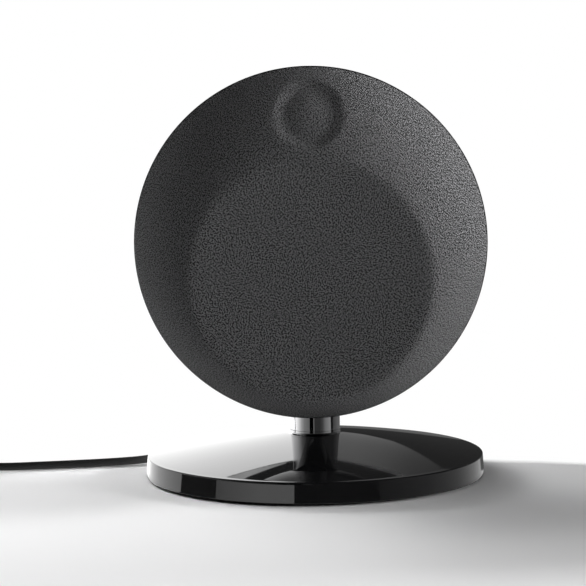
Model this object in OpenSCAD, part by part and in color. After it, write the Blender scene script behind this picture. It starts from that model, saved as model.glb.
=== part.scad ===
// Compact two-way loudspeaker: a round head with a cloth front, a short bright stem and a round base.
// Z is up, the front faces -Y, and the origin is the centre of the face that the foot stands on.

/* [Head] */
// Outer diameter of the head at its rim
head_d = 142; // [120:1:175]
// Height of the head's centre above the floor
head_z = 102.5; // [96:0.5:125]
// Distance from the stem's axis forward to the plane of the rim
rim_y = 46; // [42:1:50]
// Depth of the rear shell behind its rim
shell_depth = 82; // [78:1:100]
// Wall of the rear shell
shell_wall = 3; // [2.5:0.1:3.5]
// Thickness of the baffle that carries the drivers
baffle_t = 6; // [5:0.5:7]

/* [Grille] */
// Diameter of the soft crease round the woofer
crease_d = 96.4; // [84:0.2:100]
// How far the crease stands in front of the rim
grille_rise = 19; // [16:0.5:24]
// How far the cloth sinks at the middle of the woofer circle
dish_sink = 1.5; // [0:0.1:3]
// Diameter of the round recess in front of the tweeter
recess_d = 29.2; // [24:0.2:32]
// Thickness of the cloth with its lining
cloth_t = 0.8; // [0.6:0.1:1.2]
// Wall of the moulded grille frame
frame_t = 2; // [1.6:0.1:2.4]
// Diameter of the grille's pegs
peg_d = 4; // [3:0.1:5]

/* [Drivers] */
// Distance of the woofer's axis below the head's centre
woofer_drop = 13; // [12:0.5:14]
// Distance of the tweeter's axis above the head's centre
tweeter_rise = 52.2; // [51:0.2:53]
// Outer diameter of the woofer's mounting flange
woofer_d = 96; // [90:0.5:96]
// Diameter of the woofer cone at its front edge
cone_d = 68; // [62:1:68]
// Diameter of the woofer's voice coil
coil_d = 25.6; // [20:0.2:26]
// Outer diameter of the woofer's magnet
magnet_d = 55; // [48:1:58]
// Height of the woofer's magnet
magnet_h = 8; // [5:0.5:9]
// Outer diameter of the tweeter's face plate
tweeter_d = 26; // [24:0.2:27]
// Diameter of the tweeter's soft dome
dome_d = 16; // [13:0.5:17]

/* [Stem] */
// Outer diameter of the bright sleeve
stem_d = 21; // [16:0.5:22]
// Diameter of the steel post inside the sleeve
post_d = 16; // [14:0.5:16]
// Diameter of the post's threaded lower end
shank_d = 12; // [10:0.5:12]
// Diameter of the wire passage through the post
passage_d = 4.6; // [3.6:0.2:5]
// Height of the tilt axis above the shell's inner floor
hinge_rise = 13; // [12:0.5:18]
// Half of the length of the barrel on top of the post
barrel_half = 10.2; // [9:0.2:13]
// Diameter of the barrel
barrel_d = 15; // [13:0.5:16]
// Diameter of the pivot screws' plain shoulders
pivot_d = 6; // [5:0.2:7]
// Height of the bright ring at the foot of the stem
ring_h = 1.6; // [1:0.1:2.5]
// Outer diameter of that ring
ring_d = 23.4; // [22:0.2:26]

/* [Base] */
// Diameter of the base at its lower edge
base_d = 142; // [120:1:170]
// Height of the base's rim above the floor
rim_h = 9.6; // [8.5:0.1:14]
// Height of the middle of the base above the floor
crown_h = 18.6; // [16.5:0.1:24]
// Draft of the rim, measured on the radius
rim_draft = 0.6; // [0:0.1:2]
// Wall of the base
base_wall = 2.6; // [2:0.1:3]
// Thickness of the foot ring, which the base stands on
foot_t = 1; // [0.8:0.1:1.5]
// Thickness of the cover under the base
cover_t = 1.8; // [1.5:0.1:2.2]
// Distance between the two wall-fixing keyholes
keyhole_pitch = 38; // [36:1:42]
// Diameter of a keyhole's round entry
keyhole_d = 9; // [8:0.1:9.6]
// Outer diameter of the ballast ring
ballast_d = 100; // [86:1:102]

/* [Lead] */
// Diameter of the loudspeaker lead
lead_d = 3.4; // [3:0.1:3.6]
// Pitch of the coil's turns and of its layers
coil_pitch = 3.95; // [3.95:0.05:4.4]
// Radius at the middle of the coil's turns
coil_mid_r = 20.4; // [19:0.2:24]
// Number of turns in the coil
coil_turns = 13; // [8:1:16]
// Diameter of the moulded plug
plug_d = 10; // [9:0.2:11]

/* [Hidden] */

// Clearances: a running fit, a slip fit, and the least space between pieces that only lie near each other
run_gap = 0.05;
slip_gap = 0.2;
free_gap = 0.3;

head_r = head_d / 2;
cavity_top_r = head_r - shell_wall;
cavity_depth = shell_depth - shell_wall;
function cavity_r(depth) = cavity_top_r * sqrt(1 - pow(depth / cavity_depth, 2));
function cavity_depth_at(r) = cavity_depth * sqrt(1 - pow(r / cavity_top_r, 2));
function quarter(r, depth, first, last, step) = [for (a = [first:step:last]) [r * cos(a), -depth * sin(a)]];

// Baffle, gasket and the ledge in the shell that they lie on
baffle_front = 0;
baffle_back = baffle_front - baffle_t;
baffle_r = cavity_top_r - slip_gap - 0.1;
gasket_t = 0.8;
ledge_z = baffle_back - gasket_t;
ledge_t = 2.2;
ledge_r = cavity_top_r - 6;
baffle_screw_r = cavity_top_r - 4.5;
baffle_angles = [45, 135, 225, 315];
peg_r = cavity_top_r - 8;
peg_angles = [20, 160, 215, 325];
peg_hole_r = peg_d / 2 + free_gap;
cup_r = peg_hole_r + 1.2;

// Grille: circles that run from the crease round the woofer out to the rim
crease_r = crease_d / 2;
cloth_r = head_r - 0.4;
cloth_foot = 0.6;
recess_r = recess_d / 2;
bump_r = recess_r - 5.4;
recess_sink = 1.9;
bump_h = 0.9;
function loft_y(t) = -woofer_drop * (1 - t);
function loft_r(t, inset) = crease_r + (cloth_r - inset - crease_r) * t;
function loft_z(t) = cloth_foot + (grille_rise - cloth_foot) * (1 - t) * (1 + 0.5 * t);
function smooth(x) = let(c = max(0, min(1, x))) c * c * (3 - 2 * c);
function recess_z(x, y) = let(d = norm([x, y - tweeter_rise]))
    recess_sink * smooth((recess_r - d) / (recess_r - bump_r))
    - bump_h * (1 - pow(min(d, bump_r) / bump_r, 2));
function cap_point(t, a, drop, inset) = let(
    r = loft_r(t, inset), x = r * cos(a), y = loft_y(t) + r * sin(a))
    [x, y, max(loft_z(t) - recess_z(x, y), cloth_foot) - drop * (t < 1 ? 1 : 0)];
function dish_point(s, a, drop) = [
    crease_r * s * cos(a), crease_r * s * sin(a) - woofer_drop,
    grille_rise - dish_sink * (1 - s * s) - drop];
loft_angles = concat([for (a = [60:4:116]) a], [for (a = [120:8:412]) a]);
cap_steps = [0, 0.07, 0.17, 0.28, 0.4, 0.52, 0.64, 0.77, 0.9, 1];
frame_lip = 0.45;

// Woofer heights, counted forward from the plane of the rim
woofer_r = woofer_d / 2;
cone_r = cone_d / 2;
coil_r = coil_d / 2;
flange_t = 2;
flange_top = baffle_front + flange_t;
basket_r = woofer_r - 6.2;
basket_back = baffle_front - 19;
basket_back_r = magnet_d / 2 + 0.5;
woofer_screw_r = woofer_r - 3.2;
woofer_angles = [45, 135, 225, 315];
neck_z = baffle_front - 11.5;
paper_t = 0.7;
plate_t = 4;
plate_r = magnet_d / 2 - 1.5;
magnet_z = basket_back - plate_t;
yoke_z = magnet_z - magnet_h;
pole_r = coil_r - 0.8;
gap_r = coil_r + 1.1;
strip_l = 12;
strip_w = 4.2;
strip_h = 3.7;
strip_pitch = 7;
strip_foot = plate_r + free_gap;
roll_r = (basket_r - cone_r) / 2 - 1.2;
roll_mid = (basket_r + cone_r) / 2 - 0.6;

// Tweeter
tweeter_r = tweeter_d / 2;
tweeter_seat = baffle_front - 1.55;
dome_r = dome_d / 2;
cup_outer_r = dome_r + 2.4;
cup_back = baffle_front - 12;
tweeter_screw_r = tweeter_r - 1.6;
tweeter_angles = [30, 150, 270];

// Crossover board behind the woofer
board_z = -56;
board_w = 62;
board_h = 40;
board_t = 1.6;
board_y = 9;
post_dx = board_w / 2 - 4;
post_dy = board_h / 2 - 4;

// Stem and tilt axis
hinge_z = head_z - cavity_r(rim_y) + hinge_rise;
stem_r = stem_d / 2;
post_r = post_d / 2;
washer_t = 1;
ear_t = 4;
ear_r = 8;
ear_in = barrel_half + washer_t + 2 * 0.1;
seat_h = crown_h - 0.2;
slide_t = 0.8;
ring_top = seat_h + ring_h;
sleeve_foot = ring_top + 0.15;
sleeve_top = hinge_z - barrel_d / 2 - 1.6;
slot_r = stem_r + 0.8;
slot_front = 4.4;
slot_back = 2.4;

// Base heights
base_r = base_d / 2;
base_edge_r = base_r - rim_draft;
bevel = 0.35;
crown_power = 1.4;
function crown_z(r) = rim_h + (crown_h - rim_h) * (1 - pow(r / (base_edge_r - bevel), crown_power))
    / (1 - pow(ring_d / 2 / (base_edge_r - bevel), crown_power));
cover_top = foot_t + cover_t;
cover_r = base_r - base_wall - 1;
hub_r = 13;
hub_bottom = seat_h - 6.4;
nut_h = 4;
nut_top = hub_bottom - 1.2;
shank_bottom = nut_top - nut_h - 0.4;
cover_screw_r = base_r - 14;
cover_angles = [45, 135, 225, 315];
gland_z = 5.1;
gland_r = 3;
gland_len = 10;
ballast_top = rim_h - 0.6;
gland_flange_t = 1.6;
slot_w = 4.4;
slot_rise = 9;
inner_lead_end = 16;

// Lead: its route over the floor, where it isn't coiled
lead_r = lead_d / 2;
lead_floor = 1.8;
coil_floor = 3.1;
coil_x = -176;
coil_layers = 4;
coil_travel = coil_pitch * coil_turns / coil_layers;
coil_out_r = coil_mid_r + coil_travel / 2;
lead_y = 14.4;
coil_y = lead_y + coil_out_r;
exit_y = base_r + gland_flange_t + gland_len;
lead_route = [
    [0, exit_y, gland_z], [0, exit_y + 4, gland_z], [-2, 94.1, 4.2], [-7.5, 99.6, 2.8],
    [-15, 101.6, lead_floor], [-22.5, 101, lead_floor], [-30, 98.2, lead_floor],
    [-38, 93.5, lead_floor], [-45.5, 87, lead_floor],
    [-52, 79, lead_floor], [-57.3, 70, lead_floor], [-61.5, 60.5, lead_floor], [-64.3, 52, lead_floor],
    [-66.2, 46, lead_floor], [-68.6, 40.2, lead_floor], [-72.2, 34.8, lead_floor], [-77, 30.8, lead_floor],
    [-84, 27.6, lead_floor], [-93, 24.6, lead_floor], [-105, 21.6, lead_floor], [-118, 18.8, lead_floor],
    [-132, 16.3, lead_floor], [-146, 14.8, 2.2], [-160, lead_y, 2.9],
    [coil_x + 2 * lead_d, lead_y, coil_floor], [coil_x + lead_d, lead_y, coil_floor]];
coil_top = coil_floor + (coil_layers - 1) * coil_pitch;
plug_z = plug_d / 2 + 0.05;
plug_x = coil_x - 45;
plug_y = lead_y + 32;
tail_route = [
    [coil_x - lead_d, lead_y, coil_top], [coil_x - 2 * lead_d, lead_y, coil_top],
    [-193, lead_y + 0.6, 13.4], [-202, lead_y + 3, 10.6], [-210, lead_y + 7.5, 8], [-216, lead_y + 14, 6.2],
    [-220, lead_y + 22, 5.3], [plug_x, lead_y + 28, plug_z], [plug_x, plug_y, plug_z]];
relief_len = 14;
shell_len = 20;
collar_len = 8;
collar_r = 4.7;
pin_r = 1.6;
pin_out = 8;

// Colours
gloss_black = [0.02, 0.02, 0.022];
soft_black = [0.05, 0.05, 0.05];
cloth_grey = [0.2, 0.2, 0.21];
bright = [0.82, 0.82, 0.84];
steel = [0.55, 0.56, 0.58];
zinc = [0.68, 0.68, 0.66];
ferrite = [0.16, 0.16, 0.17];
paper_black = [0.09, 0.09, 0.1];
copper = [0.72, 0.4, 0.2];
board_green = [0.1, 0.3, 0.16];

// Child X stays, child Y turns up, and child Z points forward from the plane of the rim
module on_head(x = 0, up = 0) translate([x, -rim_y, head_z + up]) rotate([90, 0, 0]) children();
module on_woofer() on_head(0, -woofer_drop) children();
module on_tweeter() on_head(0, tweeter_rise) children();
module ring_of(r, angles) for (a = angles) translate([r * cos(a), r * sin(a), 0]) children();
module tube(outer, inner, low, high) translate([0, 0, low]) difference() {
    cylinder(r = outer, h = high - low, $fn = 96);
    translate([0, 0, -1]) cylinder(r = inner, h = high - low + 2, $fn = 96);
}
module rod(r, low, high) translate([0, 0, low]) cylinder(r = r, h = high - low, $fn = 64);
module pan_screw(head_r, head_h, shank_r, shank) {
    rotate_extrude($fn = 32) polygon([
        [0, -shank], [shank_r, -shank], [shank_r, 0], [head_r, 0], [head_r, head_h * 0.5],
        [head_r * 0.7, head_h * 0.9], [0, head_h]]);
}

// A closed tube through points, with one ring of flat sides at each point
function unit(v) = v / norm(v);
function heading(p, i) = i == 0 ? unit(p[1] - p[0])
    : i == len(p) - 1 ? unit(p[i] - p[i - 1])
    : unit(unit(p[i + 1] - p[i]) + unit(p[i] - p[i - 1]));
function ring_points(p, i, r, sides, up) = let(
    t = heading(p, i), s = unit(cross(t, up)), n = cross(s, t))
    [for (k = [0:sides - 1]) let(a = 360 * (k + 0.5) / sides) p[i] + r * (cos(a) * s + sin(a) * n)];
module swept_tube(p, r, sides, up = [0, 0, 1]) {
    count = len(p);
    points = [for (i = [0:count - 1]) each ring_points(p, i, r, sides, up)];
    walls = [for (i = [0:count - 2]) for (k = [0:sides - 1]) let(
        a = i * sides + k, b = i * sides + (k + 1) % sides)
        each [[a, b, a + sides], [b, b + sides, a + sides]]];
    caps = [[for (k = [sides - 1:-1:0]) k], [for (k = [0:sides - 1]) (count - 1) * sides + k]];
    polyhedron(points, concat(walls, caps), convexity = 10);
}

// A closed skin between rows of points that all turn the same way, as a ring or with two ends
function middle(row) = [for (axis = [0:2]) [for (q = row) q[axis]] * [for (q = row) 1] / len(row)];
module skin(rows, ring) {
    n = len(rows[0]);
    last = len(rows) - 1;
    first_end = len(rows) * n;
    walls = [for (i = [0:last - (ring ? 0 : 1)]) for (k = [0:n - 1]) let(
        j = (i + 1) % (last + 1), next = (k + 1) % n)
        each [[i * n + k, i * n + next, j * n + next], [i * n + k, j * n + next, j * n + k]]];
    ends = ring ? [] : [for (k = [0:n - 1]) let(next = (k + 1) % n)
        each [[first_end, next, k], [first_end + 1, last * n + k, last * n + next]]];
    points = concat([for (row = rows) each row], ring ? [] : [middle(rows[0]), middle(rows[last])]);
    polyhedron(points, concat(walls, ends), convexity = 10);
}

// Base

module base_disc() color(gloss_black) difference() {
    union() {
        difference() {
            rotate_extrude($fn = 160) polygon(concat(
                [[0, foot_t], [base_r - 0.3, foot_t], [base_r, foot_t + 0.3], [base_edge_r, rim_h - bevel]],
                [for (k = [0:12]) let(r = (base_edge_r - bevel) * (1 - k / 12)
                    + ring_d / 2 * k / 12) [r, crown_z(r)]],
                [[ring_d / 2, seat_h], [0, seat_h]]));
            rotate_extrude($fn = 160) polygon(concat(
                [[0, foot_t - 1], [cover_r + slip_gap, foot_t - 1], [cover_r + slip_gap, cover_top],
                 [base_r - base_wall, cover_top], [base_edge_r - base_wall, rim_h - base_wall]],
                [for (k = [1:8]) let(r = (base_edge_r - base_wall) * (1 - k / 8))
                    [r, min(crown_z(max(r, ring_d / 2)), seat_h) - base_wall]]));
        }
        rod(hub_r, hub_bottom, seat_h - 1);
        intersection() {
            union() {
                ring_of(cover_screw_r, cover_angles) rod(4, cover_top, rim_h + 4);
                for (a = [0:45:315]) rotate([0, 0, a + 22.5])
                    translate([hub_r - 1, -0.8, ballast_top + free_gap]) cube([base_r, 1.6, crown_h]);
            }
            rotate_extrude($fn = 160) polygon(concat(
                [[0, 0], [base_edge_r - 1, 0], [base_edge_r - 1, rim_h - 1.5]],
                [for (k = [1:6]) let(r = base_edge_r * (1 - k / 6)) [r, crown_z(max(r, ring_d / 2)) - 1.5]]));
        }
    }
    rod(shank_d / 2 + run_gap, 0, crown_h + 1);
    ring_of(cover_screw_r, cover_angles) rod(1.25, foot_t, rim_h - 1.6);
    translate([0, base_r - base_wall - 3, gland_z]) rotate([-90, 0, 0]) rod(gland_r + run_gap, 0, 8);
}

module base_cover() color(soft_black) difference() {
    rod(cover_r, foot_t, cover_top);
    ring_of(cover_screw_r, cover_angles) translate([0, 0, foot_t - 0.01])
        cylinder(r1 = 3.2, r2 = 1.6, h = cover_t + 0.1, $fn = 48);
    for (side = [-1, 1]) translate([side * keyhole_pitch / 2, 0, 0]) {
        rod(keyhole_d / 2, 0, cover_top + 1);
        translate([-slot_w / 2, 0, 0]) cube([slot_w, slot_rise, cover_top + 1]);
        translate([0, slot_rise, 0]) rod(slot_w / 2, 0, cover_top + 1);
    }
}

module cover_screws() color(steel) ring_of(cover_screw_r, cover_angles) translate([0, 0, foot_t + 0.1])
    rotate_extrude($fn = 32) polygon([
        [0, 0], [2.9, 0], [1.3, 1.6], [1.2, 1.7], [1.2, rim_h - foot_t - 2.4], [0, rim_h - foot_t - 1.9]]);

module foot_ring() color(soft_black) {
    tube(cover_r - 0.6, cover_r - 5, 0, foot_t);
    rod(hub_r - 1, 0, foot_t);
}

module ballast_ring() color(ferrite) difference() {
    tube(ballast_d / 2, keyhole_pitch / 2 + keyhole_d / 2 + 3, cover_top, ballast_top);
    translate([-4, 0, cover_top - 1]) cube([8, base_r, rim_h]);
}

module foot_collar() color(bright) rotate_extrude($fn = 128) polygon([
    [post_r + free_gap, seat_h], [ring_d / 2, seat_h], [ring_d / 2, seat_h + ring_h * 0.55],
    [ring_d / 2 - 0.5, ring_top - 0.15], [ring_d / 2 - 1.1, ring_top], [post_r + free_gap, ring_top]]);

module lead_gland() color(soft_black) translate([0, base_r, gland_z]) rotate([-90, 0, 0])
    rotate_extrude($fn = 64) polygon([
        [0, -base_wall - 0.7], [gland_r, -base_wall - 0.7], [gland_r, 0.05], [gland_r + 0.9, 0.05],
        [gland_r + 0.9, gland_flange_t - 0.4], [gland_r + 0.5, gland_flange_t],
        [gland_r - 0.1, gland_flange_t],
        [lead_r + 0.5, gland_len + gland_flange_t], [0, gland_len + gland_flange_t]]);

module gland_clip() color(steel) translate([0, base_r - base_wall - 9.4, cover_top + 0.05]) difference() {
    translate([-5.5, -2, 0]) cube([11, 4, 4.8]);
    translate([0, -3, gland_z - cover_top]) rotate([-90, 0, 0]) rod(lead_r + 0.05, 0, 6);
    translate([-lead_r, -3, -1]) cube([2 * lead_r, 6, gland_z - cover_top + 1]);
}

module inner_lead() color(soft_black) translate([0, inner_lead_end, gland_z]) rotate([-90, 0, 0])
    rod(lead_r, 0, base_r - base_wall - 0.75 - inner_lead_end);

// Stem, which turns in the base

module swivel_washer() color(bright) tube(post_r, shank_d / 2 + slip_gap, seat_h, seat_h + slide_t);

module spring_washer() color(steel)
    tube(shank_d / 2 + 3, shank_d / 2 + slip_gap, nut_top + 0.1, hub_bottom - 0.1);

module swivel_nut() color(steel) translate([0, 0, nut_top - nut_h]) difference() {
    intersection() {
        linear_extrude(nut_h) circle(r = shank_d / 2 + 4, $fn = 6);
        rotate_extrude($fn = 64) polygon([
            [0, 0], [shank_d / 2 + 3, 0], [shank_d / 2 + 4, 0.6], [shank_d / 2 + 4, nut_h - 0.6],
            [shank_d / 2 + 3, nut_h], [0, nut_h]]);
    }
    rod(shank_d / 2 + 0.02, -1, nut_h + 1);
}

module stem_post() color(steel) difference() {
    union() {
        rod(shank_d / 2, shank_bottom, seat_h + slide_t + 1);
        rod(post_r, seat_h + slide_t + 0.1, hinge_z);
        translate([-barrel_half, 0, hinge_z]) rotate([0, 90, 0]) rod(barrel_d / 2, 0, 2 * barrel_half);
    }
    rod(passage_d / 2, 0, hinge_z + barrel_d);
    for (side = [-1, 1]) translate([0, 0, hinge_z]) rotate([0, side * 90, 0])
        rod(pivot_d / 2 - 0.6, passage_d / 2 + 0.6, barrel_half + 1);
}

module stem_sleeve() color(bright) tube(stem_r, post_r + run_gap, sleeve_foot, sleeve_top);

module stem_wires() color(copper) for (side = [-1, 1])
    translate([side * 1.05, 0, 0]) rod(0.9, shank_bottom + 0.2, hinge_z + barrel_d / 2 + 1.5);

// Pivot screws are fast in the barrel, and the ears of the shell turn on their shoulders
module pivot_screws() color(zinc) for (side = [-1, 1])
    translate([0, 0, hinge_z]) rotate([0, side * 90, 0]) rotate_extrude($fn = 64) polygon([
        [0, passage_d / 2 + 1], [pivot_d / 2 - 0.65, passage_d / 2 + 1],
        [pivot_d / 2 - 0.65, barrel_half + 0.1],
        [pivot_d / 2, barrel_half + 0.1], [pivot_d / 2, ear_in + ear_t + 1.3],
        [pivot_d / 2 + 2.2, ear_in + ear_t + 1.3], [pivot_d / 2 + 2.2, ear_in + ear_t + 3.2],
        [pivot_d / 2 + 1.6, ear_in + ear_t + 3.8], [0, ear_in + ear_t + 3.8]]);

module pivot_washers() color(soft_black) for (side = [-1, 1])
    translate([0, 0, hinge_z]) rotate([0, side * 90, 0]) {
        tube(ear_r - 1, pivot_d / 2 + 0.1, barrel_half + 0.1, barrel_half + 0.1 + washer_t);
        tube(ear_r - 2, pivot_d / 2 + 0.1, ear_in + ear_t + 0.1, ear_in + ear_t + 1.2);
    }

// Head shell

module shell_fill() on_head() rotate_extrude($fn = 128)
    polygon(concat([[0, 0]], quarter(head_r - shell_wall / 2, shell_depth - shell_wall / 2, 0, 90, 5)));

module ear() translate([ear_in, 0, hinge_z]) {
    rotate([0, 90, 0]) rod(ear_r, 0, ear_t);
    translate([0, -ear_r, -30]) cube([ear_t, 2 * ear_r, 30]);
}

module head_shell() color(gloss_black) difference() {
    union() {
        on_head() rotate_extrude($fn = 160) polygon(concat(
            [[cavity_top_r, -0.4], [cavity_top_r + 0.4, 0], [head_r - 0.6, 0]],
            quarter(head_r, shell_depth, 1.5, 90, 3),
            [for (a = [90:-3:9]) [cavity_top_r * cos(a), -cavity_depth * sin(a)]],
            [[ledge_r, ledge_z - ledge_t], [ledge_r, ledge_z], [cavity_top_r, ledge_z]]));
        intersection() {
            union() {
                for (side = [0, 1]) mirror([side, 0, 0]) ear();
                on_head() {
                    ring_of(baffle_screw_r, baffle_angles) rod(4, ledge_z - 12, ledge_z);
                    for (side = [-1, 1]) for (row = [-1, 1]) let(
                        x = side * post_dx, y = board_y + row * post_dy)
                        translate([x, y, 0]) rod(3, -cavity_depth_at(norm([x, y])) - 3, board_z - board_t);
                }
            }
            shell_fill();
        }
    }
    on_head() ring_of(baffle_screw_r, baffle_angles) rod(1.3, ledge_z - 10, 1);
    on_tweeter() rod(cup_outer_r + free_gap, cup_back - 1, 1);
    on_head() for (side = [-1, 1]) for (row = [-1, 1])
        translate([side * post_dx, board_y + row * post_dy, 0]) rod(0.95, board_z - 8, board_z);
    translate([-30, 0, hinge_z]) rotate([0, 90, 0]) rod(pivot_d / 2 + run_gap, 0, 60);
    translate([0, -slot_front, 0]) rod(slot_r, 20, hinge_z - 2);
    translate([0, slot_back, 0]) rod(slot_r, 20, hinge_z - 2);
    translate([-slot_r, -slot_front, 20]) cube([2 * slot_r, slot_front + slot_back, hinge_z - 22]);
}

module baffle_gasket() color(soft_black) on_head() difference() {
    tube(cavity_top_r - 0.4, ledge_r + 0.2, ledge_z + 0.05, baffle_back - 0.05);
    ring_of(baffle_screw_r, baffle_angles) rod(1.8, ledge_z - 1, 1);
    translate([0, tweeter_rise, 0]) rod(cup_outer_r + free_gap, ledge_z - 1, 1);
}

module baffle() color(soft_black) on_head() difference() {
    rotate_extrude($fn = 160) polygon([
        [0, baffle_back], [baffle_r, baffle_back], [baffle_r, baffle_front - 0.8],
        [baffle_r - 0.8, baffle_front], [0, baffle_front]]);
    translate([0, -woofer_drop, 0]) {
        rod(basket_r + slip_gap, baffle_back - 1, 5);
        ring_of(woofer_screw_r, woofer_angles) rod(1.35, baffle_back + 1, 5);
    }
    translate([0, tweeter_rise, 0]) {
        rod(cup_outer_r + slip_gap, baffle_back - 1, 5);
        rod(tweeter_r + slip_gap, baffle_front - 1.6, 5);
        ring_of(tweeter_screw_r, tweeter_angles) rod(0.95, baffle_back + 1, 5);
    }
    ring_of(baffle_screw_r, baffle_angles) {
        rod(1.7, baffle_back - 1, 5);
        rod(3.2, baffle_front - 2.4, 5);
    }
    ring_of(peg_r, peg_angles) rod(cup_r + run_gap, baffle_back + 0.8, 5);
}

module baffle_screws() color(steel) on_head() ring_of(baffle_screw_r, baffle_angles)
    translate([0, 0, baffle_front - 2.35]) pan_screw(2.9, 1.9, 1.25, baffle_t + 6);

module grille_cups() color(soft_black) on_head() ring_of(peg_r, peg_angles) difference() {
    rod(cup_r, baffle_back + 0.9, baffle_front - 0.05);
    rod(peg_hole_r, baffle_back + 1.8, 5);
}

// Woofer

function cone_z(r) = let(u = (r - coil_r) / (cone_r - coil_r))
    neck_z + (flange_top - neck_z) * pow(u, 0.86);
cone_radii = [for (k = [0:8]) coil_r + (cone_r - coil_r) * k / 8];

module woofer_basket() color(zinc) on_woofer() difference() {
    rotate_extrude($fn = 128) polygon([
        [woofer_r, flange_top - 0.5], [woofer_r - 0.5, flange_top], [basket_r - 0.6, flange_top],
        [basket_r - 1.4, baffle_front - 3], [basket_back_r, basket_back + 4],
        [basket_back_r - 1, basket_back + 3.3], [basket_back_r - 2.6, basket_back + 3.3],
        [basket_back_r - 2.6, basket_back + 2], [gap_r + 1, basket_back + 2],
        [gap_r + 1, basket_back], [basket_back_r + 1.4, basket_back],
        [basket_back_r + 1.4, basket_back + 3], [basket_r, baffle_front - 3.4], [basket_r, baffle_front],
        [woofer_r, baffle_front]]);
    for (a = [30:60:330]) rotate([0, 0, a])
        translate([basket_back_r - 4, -8, basket_back + 5]) cube([basket_r, 16, 9]);
    ring_of(woofer_screw_r, woofer_angles) rod(1.6, baffle_front - 1, 5);
}

module woofer_screws() color(steel) on_woofer() ring_of(woofer_screw_r, woofer_angles)
    translate([0, 0, flange_top + 0.02]) pan_screw(2.4, 1.7, 1.3, 6);

module woofer_surround() color(ferrite) on_woofer() rotate_extrude($fn = 128) polygon(concat(
    [[basket_r + 0.25, flange_top + 0.75], [basket_r + 0.25, flange_top + 0.05],
     [roll_mid + roll_r - 0.6, flange_top + 0.05]],
    [for (a = [0:20:180]) [roll_mid + (roll_r - 0.6) * cos(a), flange_top + 0.1 + (roll_r - 0.6) * sin(a)]],
    [[cone_r - 2.4, flange_top + 0.05], [cone_r - 2.4, flange_top + 0.75]],
    [for (a = [170:-20:10]) [roll_mid + roll_r * cos(a), flange_top + 0.1 + roll_r * sin(a)]]));

module woofer_cone() color(paper_black) on_woofer() rotate_extrude($fn = 128) polygon(concat(
    [for (r = cone_radii) [r, cone_z(r) - 0.05]],
    [for (k = [8:-1:0]) let(r = cone_radii[k]) [r, cone_z(r) - 0.05 - paper_t]]));

module dust_cap() color(paper_black) on_woofer() rotate_extrude($fn = 96) polygon(concat(
    [for (a = [0:10:90]) [(coil_r + 1.6) * sin(a), cone_z(coil_r + 1.6) + 0.6 + 4.6 * cos(a)]],
    [for (a = [90:-10:0]) [(coil_r + 0.9) * sin(a), cone_z(coil_r + 1.6) + 0.1 + 4.4 * cos(a)]]));

module voice_coil() color(copper) on_woofer() {
    tube(coil_r - 0.02, coil_r - 0.3, magnet_z - 3, neck_z + 0.3);
    tube(coil_r + 0.5, coil_r, magnet_z - 2.4, basket_back + 1.4);
}

module woofer_spider() color([0.55, 0.42, 0.2]) on_woofer() rotate_extrude($fn = 96) polygon(concat(
    [for (k = [0:20]) let(r = coil_r + 0.1 + (basket_back_r - 1.3 - coil_r) * k / 20)
        [r, basket_back + 3.8 + 0.8 * sin(k * 72) * (k > 2 && k < 18 ? 1 : 0)]],
    [for (k = [20:-1:0]) let(r = coil_r + 0.1 + (basket_back_r - 1.3 - coil_r) * k / 20)
        [r, basket_back + 3.35 + 0.8 * sin(k * 72) * (k > 2 && k < 18 ? 1 : 0)]]));

module top_plate() color(zinc) on_woofer() tube(plate_r, gap_r, magnet_z, basket_back);

module magnet_ring() color(ferrite) on_woofer() tube(magnet_d / 2, gap_r + 1.6, yoke_z, magnet_z);

module back_plate() color(zinc) on_woofer() {
    rod(plate_r, yoke_z - plate_t, yoke_z);
    rod(pole_r, yoke_z, basket_back);
}

// Tweeter

module tweeter_plate() color(soft_black) on_tweeter() difference() {
    rotate_extrude($fn = 96) polygon([
        [dome_r + 1.5, tweeter_seat], [tweeter_r, tweeter_seat], [tweeter_r, baffle_front - 0.3],
        [tweeter_r - 0.3, baffle_front], [dome_r + 2.3, baffle_front], [dome_r + 1.5, baffle_front - 0.9]]);
    ring_of(tweeter_screw_r, tweeter_angles) rod(0.75, -5, 5);
}

module tweeter_screws() color(steel) on_tweeter() ring_of(tweeter_screw_r, tweeter_angles)
    translate([0, 0, baffle_front + 0.02]) pan_screw(1.2, 0.6, 0.7, 5);

module tweeter_dome() color([0.12, 0.12, 0.13]) on_tweeter() {
    rotate_extrude($fn = 96) polygon(concat(
        [for (a = [0:9:90]) [dome_r * sin(a), tweeter_seat + 0.4 + 3.4 * cos(a)]],
        [for (a = [90:-9:0]) [(dome_r - 0.4) * sin(a), tweeter_seat + 0.3 + 3.1 * cos(a)]]));
    tube(dome_r + 1.2, dome_r - 0.3, tweeter_seat + 0.1, tweeter_seat + 0.5);
    tube(dome_r, dome_r - 0.25, tweeter_seat - 2.6, tweeter_seat + 0.3);
}

module tweeter_cup() color(zinc) on_tweeter() difference() {
    rod(cup_outer_r, cup_back, tweeter_seat - 0.1);
    rod(dome_r + 0.6, cup_back + 3, 5);
    rod(dome_r + 1.5, tweeter_seat - 0.6, 5);
}

module tweeter_magnet() color(steel) on_tweeter() {
    rod(dome_r - 1.4, cup_back + 3, tweeter_seat - 3.4);
    rod(dome_r - 0.7, tweeter_seat - 3.4, tweeter_seat - 0.6);
}

// Crossover

module crossover_board() color(board_green) on_head(0, board_y) difference() {
    translate([-board_w / 2, -board_h / 2, board_z - board_t]) cube([board_w, board_h, board_t - 0.05]);
    for (side = [-1, 1]) for (row = [-1, 1])
        translate([side * post_dx, row * post_dy, 0]) rod(1.2, board_z - 5, board_z + 5);
}

module board_screws() color(steel) on_head(0, board_y) for (side = [-1, 1]) for (row = [-1, 1])
    translate([side * post_dx, row * post_dy, board_z]) pan_screw(2, 1.3, 0.9, 6);

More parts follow.
